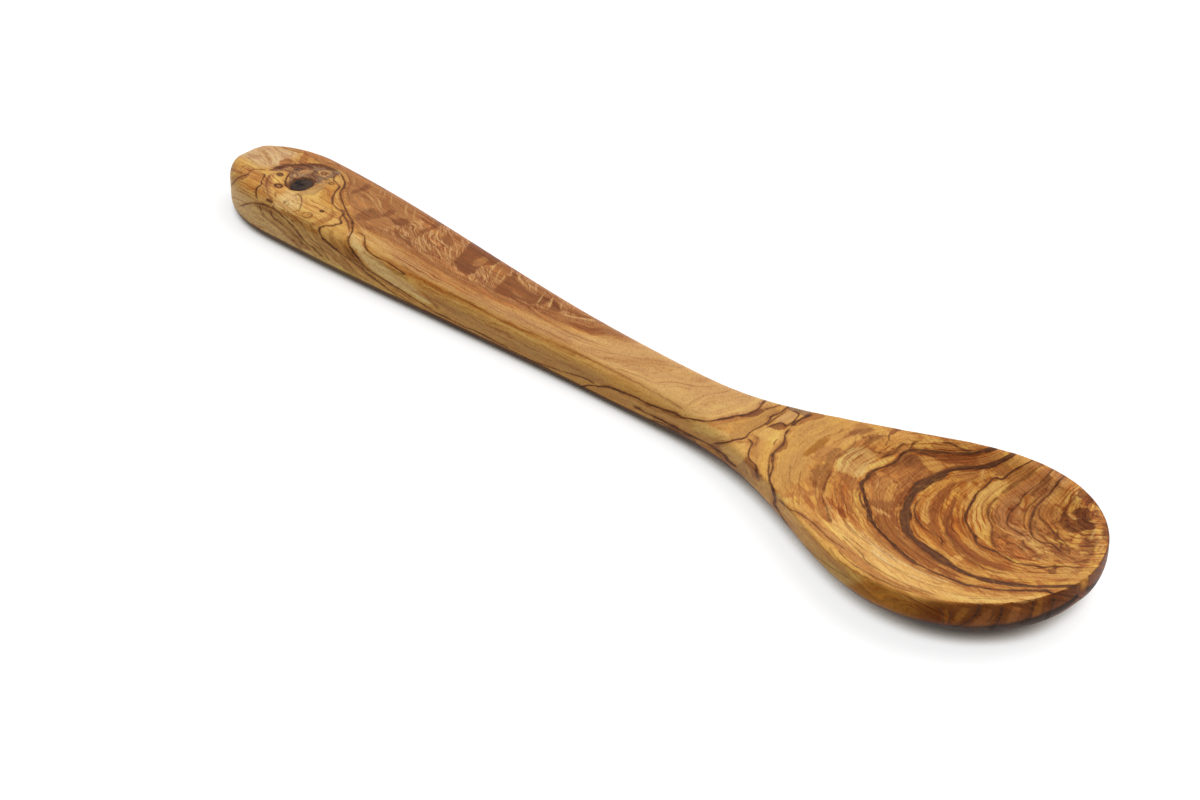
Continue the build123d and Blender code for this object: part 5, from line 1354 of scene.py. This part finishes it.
class Nodes:
    """Short calls for the nodes of one material or world."""

    def __init__(self, owner):
        owner.use_nodes = True
        self.tree = owner.node_tree

    def add(self, kind, **settings):
        node = self.tree.nodes.new(kind)
        for key, value in settings.items():
            setattr(node, key, value)
        return node

    def join(self, target, value):
        if isinstance(value, (int, float, tuple)):
            target.default_value = value
        else:
            self.tree.links.new(target, value)

    def fill(self, node, slots, values):
        """Join values to the named or numbered inputs of a node, and return its first output."""
        for slot, value in zip(slots, values):
            self.join(node.inputs[slot], value)
        return node.outputs[0]

    def math(self, operation, *values):
        return self.fill(self.add("ShaderNodeMath", operation=operation), (0, 1, 2), values)

    def times(self, first, *others):
        for other in others:
            first = self.math("MULTIPLY", first, other)
        return first

    def highest(self, first, *others):
        for other in others:
            first = self.math("MAXIMUM", first, other)
        return first

    def span(self, value, low, high, out_low=0.0, out_high=1.0):
        """Rise smoothly from one value to another while the input goes from low to high."""
        node = self.add("ShaderNodeMapRange", interpolation_type="SMOOTHSTEP")
        slots = ("Value", "From Min", "From Max", "To Min", "To Max")
        return self.fill(node, slots, (value, low, high, out_low, out_high))

    def vector(self, x, y, z):
        return self.fill(self.add("ShaderNodeCombineXYZ"), (0, 1, 2), (x, y, z))

    def split(self, value):
        node = self.add("ShaderNodeSeparateXYZ")
        self.join(node.inputs[0], value)
        return node.outputs

    def noise(self, vector, scale, detail=3.0, roughness=0.55, distortion=0.0):
        node = self.add("ShaderNodeTexNoise", noise_dimensions="3D")
        slots = ("Vector", "Scale", "Detail", "Roughness", "Distortion")
        return self.fill(node, slots, (vector, scale, detail, roughness, distortion))

    def mix(self, factor, a, b, blend_type="MIX"):
        """Mix two colours. Named ones are pigments, but in other blend types they are plain."""
        node = self.add("ShaderNodeMix", data_type="RGBA", blend_type=blend_type)
        dye = pigment if blend_type == "MIX" else linear
        a, b = ((*dye(item), 1) if isinstance(item, str) else item for item in (a, b))
        self.fill(node, (0, 6, 7), (factor, a, b))
        return node.outputs[2]

    def darken(self, colour, share, shade):
        return self.mix(share, colour, self.mix(1.0, colour, shade, "MULTIPLY"))

    def lighten(self, colour, share, glaze):
        return self.mix(share, colour, glaze, "OVERLAY")

    def two_tone(self, colour, noise, dark, pale):
        """Darken low noise and lighten high noise, each by its span, its shares and its colour."""
        span, shares, shade = dark
        colour = self.darken(colour, self.times(self.span(noise, *span), *shares), shade)
        span, shares, glaze = pale
        return self.lighten(colour, self.times(self.span(noise, *span), *shares), glaze)

    def attribute(self, name):
        return self.add("ShaderNodeAttribute", attribute_name=name).outputs

    def bump(self, height, strength, distance):
        slots = ("Strength", "Distance", "Height")
        return self.fill(self.add("ShaderNodeBump"), slots, (strength, distance, height))

    def seen_directly(self):
        """1 for rays that show the stage itself, or mirror or refract it, and 0 for its light."""
        rays = self.add("ShaderNodeLightPath").outputs
        kinds = ("Is Camera Ray", "Is Glossy Ray", "Is Transmission Ray")
        return self.highest(*(rays[kind] for kind in kinds))


def new_material(name):
    """A material, the calls for its nodes and the sockets of its shader."""
    material = bpy.data.materials.new(name)
    n = Nodes(material)
    return material, n, n.tree.nodes["Principled BSDF"].inputs


# pigments of the flame figure, the drawn lines and the knot
CURL, PALE_LINE, FAINT_LINE = "#dfb080", "#f0c47c", "#905428"
DARK_LINE, WORN_LINE = "#4a2e1c", "#71492d"
KNOT_BLACK, KNOT_BROWN, KNOT_GREY = "#30271f", "#514234", "#735c48"

# shades, which are multiplied in
CURL_SHADE, FACET_SHADE, CLOUD_SHADE, BAND_SHADE = "#b57c4c", "#b97c46", "#a0622f", "#cf9a63"
RING_SHADE, MARK_SHADE, PORE_SHADE, RAY_SHADE = "#bf824a", "#c08850", "#a8713f", "#b98a5c"
# the turn's shade is the colour of the painted shade on the turn into the underside
HALO_SHADE, TURN_SHADE_PAINTED = "#b8783f", "#57402a"

# glazes, which are overlaid, and the tint of the sheen
PALE_GLAZE, BAND_GLAZE, MARK_GLAZE = "#e2d8c6", "#e0d6c6", "#e0d8ca"
RAY_GLAZE, MOTTLE_GLAZE = "#dcd8cc", "#d4d0c4"
SHEEN_TINT = "#ffd9a4"


def wood_material():
    material, n, shader = new_material("olive_wood")
    s, t, ring = n.split(n.attribute("figure")["Vector"])
    flame, hatch, busy = n.split(n.attribute("zones")["Vector"])
    ground = n.attribute("tint")
    colour = ground["Color"]
    flat = n.vector(s, t, 0.0)

    def centred(scale, *settings):
        return n.math("SUBTRACT", n.noise(flat, scale, *settings), 0.5)

    bent = n.math("ADD", ring, n.times(centred(0.16, 2.0), 2.2))

    def grain(across, along, *settings):
        """Noise that is stretched along the growth rings, by its scales across and along them."""
        place = n.vector(n.times(bent, across), n.times(s, along), n.times(t, along))
        return n.noise(place, 1.0, *settings)

    def streaks(first, first_scale, second, second_scale, level, *settings):
        """Noise over two directions on the map, each with its own scale."""
        place = n.vector(n.times(first, first_scale), n.times(second, second_scale), level)
        return n.noise(place, 1.0, *settings)

    # flame figure: pale curly streaks that run slantwise across the grain
    sway = n.times(centred(0.11, 2.0), 9.0)
    cross = n.math("ADD", n.math("ADD", s, n.times(t, 1.25)), sway)
    fall = n.math("SUBTRACT", s, t)
    curl = streaks(cross, 1.6, fall, 0.17, 3.0, 3.0, 0.6, 0.7)
    curl_pale = n.times(n.span(curl, 0.53, 0.585), flame, 0.74)
    curl_dark = n.times(n.span(curl, 0.47, 0.38), flame, 0.66)
    colour = n.mix(curl_pale, colour, n.mix(0.7, colour, CURL))
    colour = n.darken(colour, curl_dark, CURL_SHADE)

    # facets of the bowl: wedges between the rings and the rays that cross them
    ray = n.math("ADD", t, n.times(s, 0.34))
    facet = streaks(ray, 0.30, bent, 0.20, 5.0, 2.0, 0.5, 0.4)
    facet_dark = ((0.46, 0.42), (hatch, 0.54), FACET_SHADE)
    facet_pale = ((0.55, 0.59), (hatch, 0.48), PALE_GLAZE)
    colour = n.two_tone(colour, facet, facet_dark, facet_pale)

    # patches, whose edges are ragged along the grain
    ragged = n.math("SUBTRACT", grain(1.1, 0.16, 4.0, 0.62), 0.5)
    torn = n.math("MULTIPLY_ADD", ragged, 2.6, n.times(centred(0.8, 3.0, 0.6), 1.3))
    sharp = n.span(n.noise(flat, 0.21, 2.0), 0.35, 0.65, 0.10, 0.70)
    for index in range(PATCH_LAYERS):
        patch = n.attribute(f"patches_{index}")
        edge = n.math("ADD", patch["Alpha"], torn)
        colour = n.mix(n.span(edge, n.times(sharp, -1.0), sharp), colour, patch["Color"])

    # cloudy brown staining near the tip
    cloud = grain(0.75, 0.34, 3.0, 0.65, 0.6)
    cloud_dark = ((0.49, 0.41), (busy, 0.62), CLOUD_SHADE)
    cloud_pale = ((0.54, 0.61), (busy, 0.55), PALE_GLAZE)
    colour = n.two_tone(colour, cloud, cloud_dark, cloud_pale)

    # growth rings: broad bands, then fine lines, both quieter at the neck and on the near flank
    broad = grain(0.42, 0.016, 4.0, 0.60)
    fine = grain(1.8, 0.07, 4.0, 0.68)
    calm = n.span(n.noise(flat, 0.07, 2.0), 0.35, 0.65, 0.45, 1.0)
    shoulder = n.times(n.span(s, 136.0, 152.0), n.span(s, 227.0, 217.0))
    flank_width = n.times(n.span(t, -18.0, -22.0), n.span(t, -33.0, -31.0))
    flank = n.times(n.span(s, 228.0, 240.0), flank_width)
    loud = n.math("SUBTRACT", 1.0, n.times(n.math("MAXIMUM", shoulder, flank), 0.65))
    broad_dark = ((0.50, 0.40), (calm, loud, 0.55), BAND_SHADE)
    broad_pale = ((0.54, 0.66), (0.45,), BAND_GLAZE)
    colour = n.two_tone(colour, broad, broad_dark, broad_pale)
    vivid = n.times(calm, n.math("MULTIPLY_ADD", hatch, 0.20, 0.72))
    fine_dark = ((0.475, 0.37), (vivid, loud), RING_SHADE)
    fine_pale = ((0.53, 0.62), (loud, 0.55), PALE_GLAZE)
    colour = n.two_tone(colour, fine, fine_dark, fine_pale)

    # fine marks across the bowl, left by the gouge and by the rays of the wood
    marks = streaks(s, 0.10, ray, 2.6, 7.0, 2.0, 0.6)
    marks_dark = ((0.48, 0.34), (hatch, 0.50), MARK_SHADE)
    marks_pale = ((0.54, 0.68), (hatch, 0.36), MARK_GLAZE)
    colour = n.two_tone(colour, marks, marks_dark, marks_pale)

    # flecks and pores, lengthened along the grain
    pores = grain(5.0, 0.45, 2.0, 0.6)
    colour = n.darken(colour, n.times(n.span(pores, 0.56, 0.68), 0.30), PORE_SHADE)
    slant = n.math("ADD", t, n.times(s, 0.8))
    rays = streaks(slant, 2.2, fall, 0.42, 9.0, 2.0, 0.6)
    colour = n.lighten(colour, n.times(n.span(rays, 0.54, 0.66), 0.28), RAY_GLAZE)
    colour = n.darken(colour, n.times(n.span(rays, 0.46, 0.34), 0.32), RAY_SHADE)
    mottle = n.noise(n.add("ShaderNodeTexCoord").outputs["Object"], 420.0, 4.0, 0.6)
    colour = n.lighten(colour, n.span(mottle, 0.40, 0.66, 0.0, 0.16), MOTTLE_GLAZE)

    # lines, each layer drawn from its signed distance, width and strength: faint ones are
    # rusty, strong ones nearly black, and those with a negative strength pale
    rough_small = centred(1.6, 3.0, 0.62)
    rough_large = centred(0.35, 2.0, 0.5)
    shake = n.math("MULTIPLY_ADD", rough_small, 0.42, n.times(rough_large, 0.6))
    deep = streaks(s, 0.55, t, 0.55, 2.0, 3.0, 0.6)
    drawn, halos, pale_lines = [], [], []
    for index in range(LAYERS):
        offset, width, ink = n.split(n.attribute(f"veins_{index}")["Vector"])
        gap = n.math("SUBTRACT", n.math("ABSOLUTE", n.math("ADD", offset, shake)), width)
        lean = n.math("ABSOLUTE", n.math("MULTIPLY_ADD", rough_large, 3.2, offset))
        beside = n.math("SUBTRACT", lean, width)
        drawn.append(n.times(n.span(gap, 0.28, -0.16), ink))
        halos.append(n.times(n.span(beside, 1.2, -0.1), n.times(ink, n.span(width, 0.05, 0.40))))
        pale_lines.append(n.times(drawn[-1], -1.0))
    total, halo, pale = (n.highest(*values) for values in (drawn, halos, pale_lines))
    pale_share = n.times(pale, n.span(deep, 0.25, 0.60, 0.5, 1.0))
    colour = n.mix(pale_share, colour, n.mix(0.75, colour, PALE_LINE))
    colour = n.darken(colour, n.times(halo, 0.55), HALO_SHADE)
    strength = n.times(total, n.span(deep, 0.28, 0.62, 0.70, 1.0))
    dark = n.mix(n.span(fine, 0.35, 0.65), DARK_LINE, WORN_LINE)
    line_colour = n.mix(n.span(strength, 0.15, 0.75), FAINT_LINE, dark)
    colour = n.mix(n.span(strength, 0.0, 0.85), colour, line_colour)

    # painted shade on the turn into the underside, read from the tint's alpha
    colour = n.darken(colour, n.times(ground["Alpha"], 0.95), TURN_SHADE_PAINTED)
    n.join(shader["Base Color"], colour)
    rough = n.math("ADD", n.span(broad, 0.35, 0.65, 0.40, 0.48), n.times(strength, 0.10))
    n.join(shader["Roughness"], rough)
    shader["Specular IOR Level"].default_value = 0.12
    shader["Specular Tint"].default_value = (*linear(SHEEN_TINT), 1)

    # relief: raised grain, pores, marks of the gouge and sunken lines
    relief = n.math("MULTIPLY_ADD", fine, 0.5, n.times(pores, -0.35))
    relief = n.math("ADD", relief, n.times(marks, hatch, 0.6))
    relief = n.math("ADD", relief, n.times(total, -0.5))
    n.join(shader["Normal"], n.bump(relief, 0.35, 0.25 * MM))
    return material


def knot_material():
    material, n, shader = new_material("knot_wood")
    place = n.add("ShaderNodeTexCoord").outputs["Object"]
    grain = n.noise(place, 900.0, 5.0, 0.7)
    large = n.noise(place, 260.0, 3.0, 0.6)
    colour = n.mix(n.span(large, 0.35, 0.65), KNOT_BLACK, KNOT_BROWN)
    colour = n.mix(n.span(grain, 0.52, 0.72, 0.0, 0.5), colour, KNOT_GREY)
    n.join(shader["Base Color"], colour)
    n.join(shader["Roughness"], n.span(grain, 0.3, 0.7, 0.55, 0.8))
    shader["Specular IOR Level"].default_value = 0.1
    n.join(shader["Normal"], n.bump(grain, 0.6, 0.3 * MM))
    return material


spoon.data.materials.append(wood_material())
knot.data.materials.append(knot_material())

for piece, node, slot in ((spoon, "spoon_body", "olive_wood"), (knot, "dead_knot", "knot_wood")):
    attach(piece, "root")
    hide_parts(node)

# The stage, in metres: a pale floor, a white sky and one large lamp. Floor and sky are brighter
# where they are seen than in the light that they give.
FLOOR_HALF, FLOOR_GREY = 4, 0.36
FLOOR_GLOW, FLOOR_SEEN_GLOW = 0.30, 0.49   # the second is added where the floor is seen
CONTACT_REACH = 0.006                      # how far the contact shadow reaches
SKY_GIVEN, SKY_SEEN = 0.44, 1.0
LAMP_PLACE, LAMP_SIZE, LAMP_POWER = (0.22, 0.52, 1.10), 1.0, 9.6


def floor_material():
    material, n, shader = new_material("pale_floor")
    shader["Base Color"].default_value = (FLOOR_GREY, FLOOR_GREY, FLOOR_GREY, 1)
    shader["Roughness"].default_value = 0.9
    shader["Specular IOR Level"].default_value = 0.0
    close = n.add("ShaderNodeAmbientOcclusion", samples=12)
    close.inputs["Distance"].default_value = CONTACT_REACH
    open_sky = n.span(close.outputs["AO"], 0.12, 0.62)
    # light that comes by way of the wood is warm
    green, blue = (n.span(open_sky, 0.0, 1.0, low, 1.0) for low in (0.88, 0.74))
    level = n.math("MULTIPLY_ADD", n.seen_directly(), FLOOR_SEEN_GLOW, FLOOR_GLOW)
    light = (n.vector(1.0, green, blue), n.times(level, open_sky))
    glow = n.fill(n.add("ShaderNodeEmission"), ("Color", "Strength"), light)
    plain = n.tree.nodes["Principled BSDF"].outputs[0]
    both = n.fill(n.add("ShaderNodeAddShader"), (0, 1), (plain, glow))
    n.join(n.tree.nodes["Material Output"].inputs["Surface"], both)
    return material


signs = ((-1, -1), (1, -1), (1, 1), (-1, 1))
corners = [(along * FLOOR_HALF, across * FLOOR_HALF, 0) for along, across in signs]
floor = mesh_object("floor", corners, [(0, 1, 2, 3)], smooth=False)
floor.data.materials.append(floor_material())

world = bpy.data.worlds.new("studio")
bpy.context.scene.world = world
n = Nodes(world)
sky = n.tree.nodes["Background"].inputs
sky["Color"].default_value = (1, 1, 1, 1)
n.join(sky["Strength"], n.math("MULTIPLY_ADD", n.seen_directly(), SKY_SEEN - SKY_GIVEN, SKY_GIVEN))

lamp = bpy.data.lights.new("key", "AREA")
lamp.shape = "DISK"
lamp.size = LAMP_SIZE
lamp.energy = LAMP_POWER
holder = bpy.data.objects.new("key", lamp)
holder.location = LAMP_PLACE
holder.rotation_euler = (-Vector(LAMP_PLACE)).to_track_quat("-Z", "Y").to_euler()
bpy.context.scene.collection.objects.link(holder)

# The camera, fitted to the photo together with the spoon's outline, in degrees and millimetres
CAMERA_ELEVATION, CAMERA_TURN, CAMERA_DISTANCE = 33.634, 44.087, 887.6
CAMERA_AIM = (0.18, -8.357, 0.3)
SENSOR_WIDTH, FOCAL_LENGTH = 36, 102

elevation, turn = np.radians(CAMERA_ELEVATION), np.radians(CAMERA_TURN)
level = np.cos(elevation)
back = Vector((np.sin(turn) * level, -np.cos(turn) * level, np.sin(elevation)))
right = Vector((np.cos(turn), np.sin(turn), 0))
up = back.cross(right)
eye = Vector(CAMERA_AIM) * MM + back * CAMERA_DISTANCE * MM
lens = bpy.data.cameras.new("camera")
lens.sensor_width = SENSOR_WIDTH
lens.lens = FOCAL_LENGTH
lens.clip_start = 0.01
lens.clip_end = 20
camera = bpy.data.objects.new("camera", lens)
camera.matrix_world = Matrix.Translation(eye) @ Matrix((right, up, back)).transposed().to_4x4()
bpy.context.scene.collection.objects.link(camera)
bpy.context.scene.camera = camera
bpy.context.scene.view_settings.view_transform = "Standard"
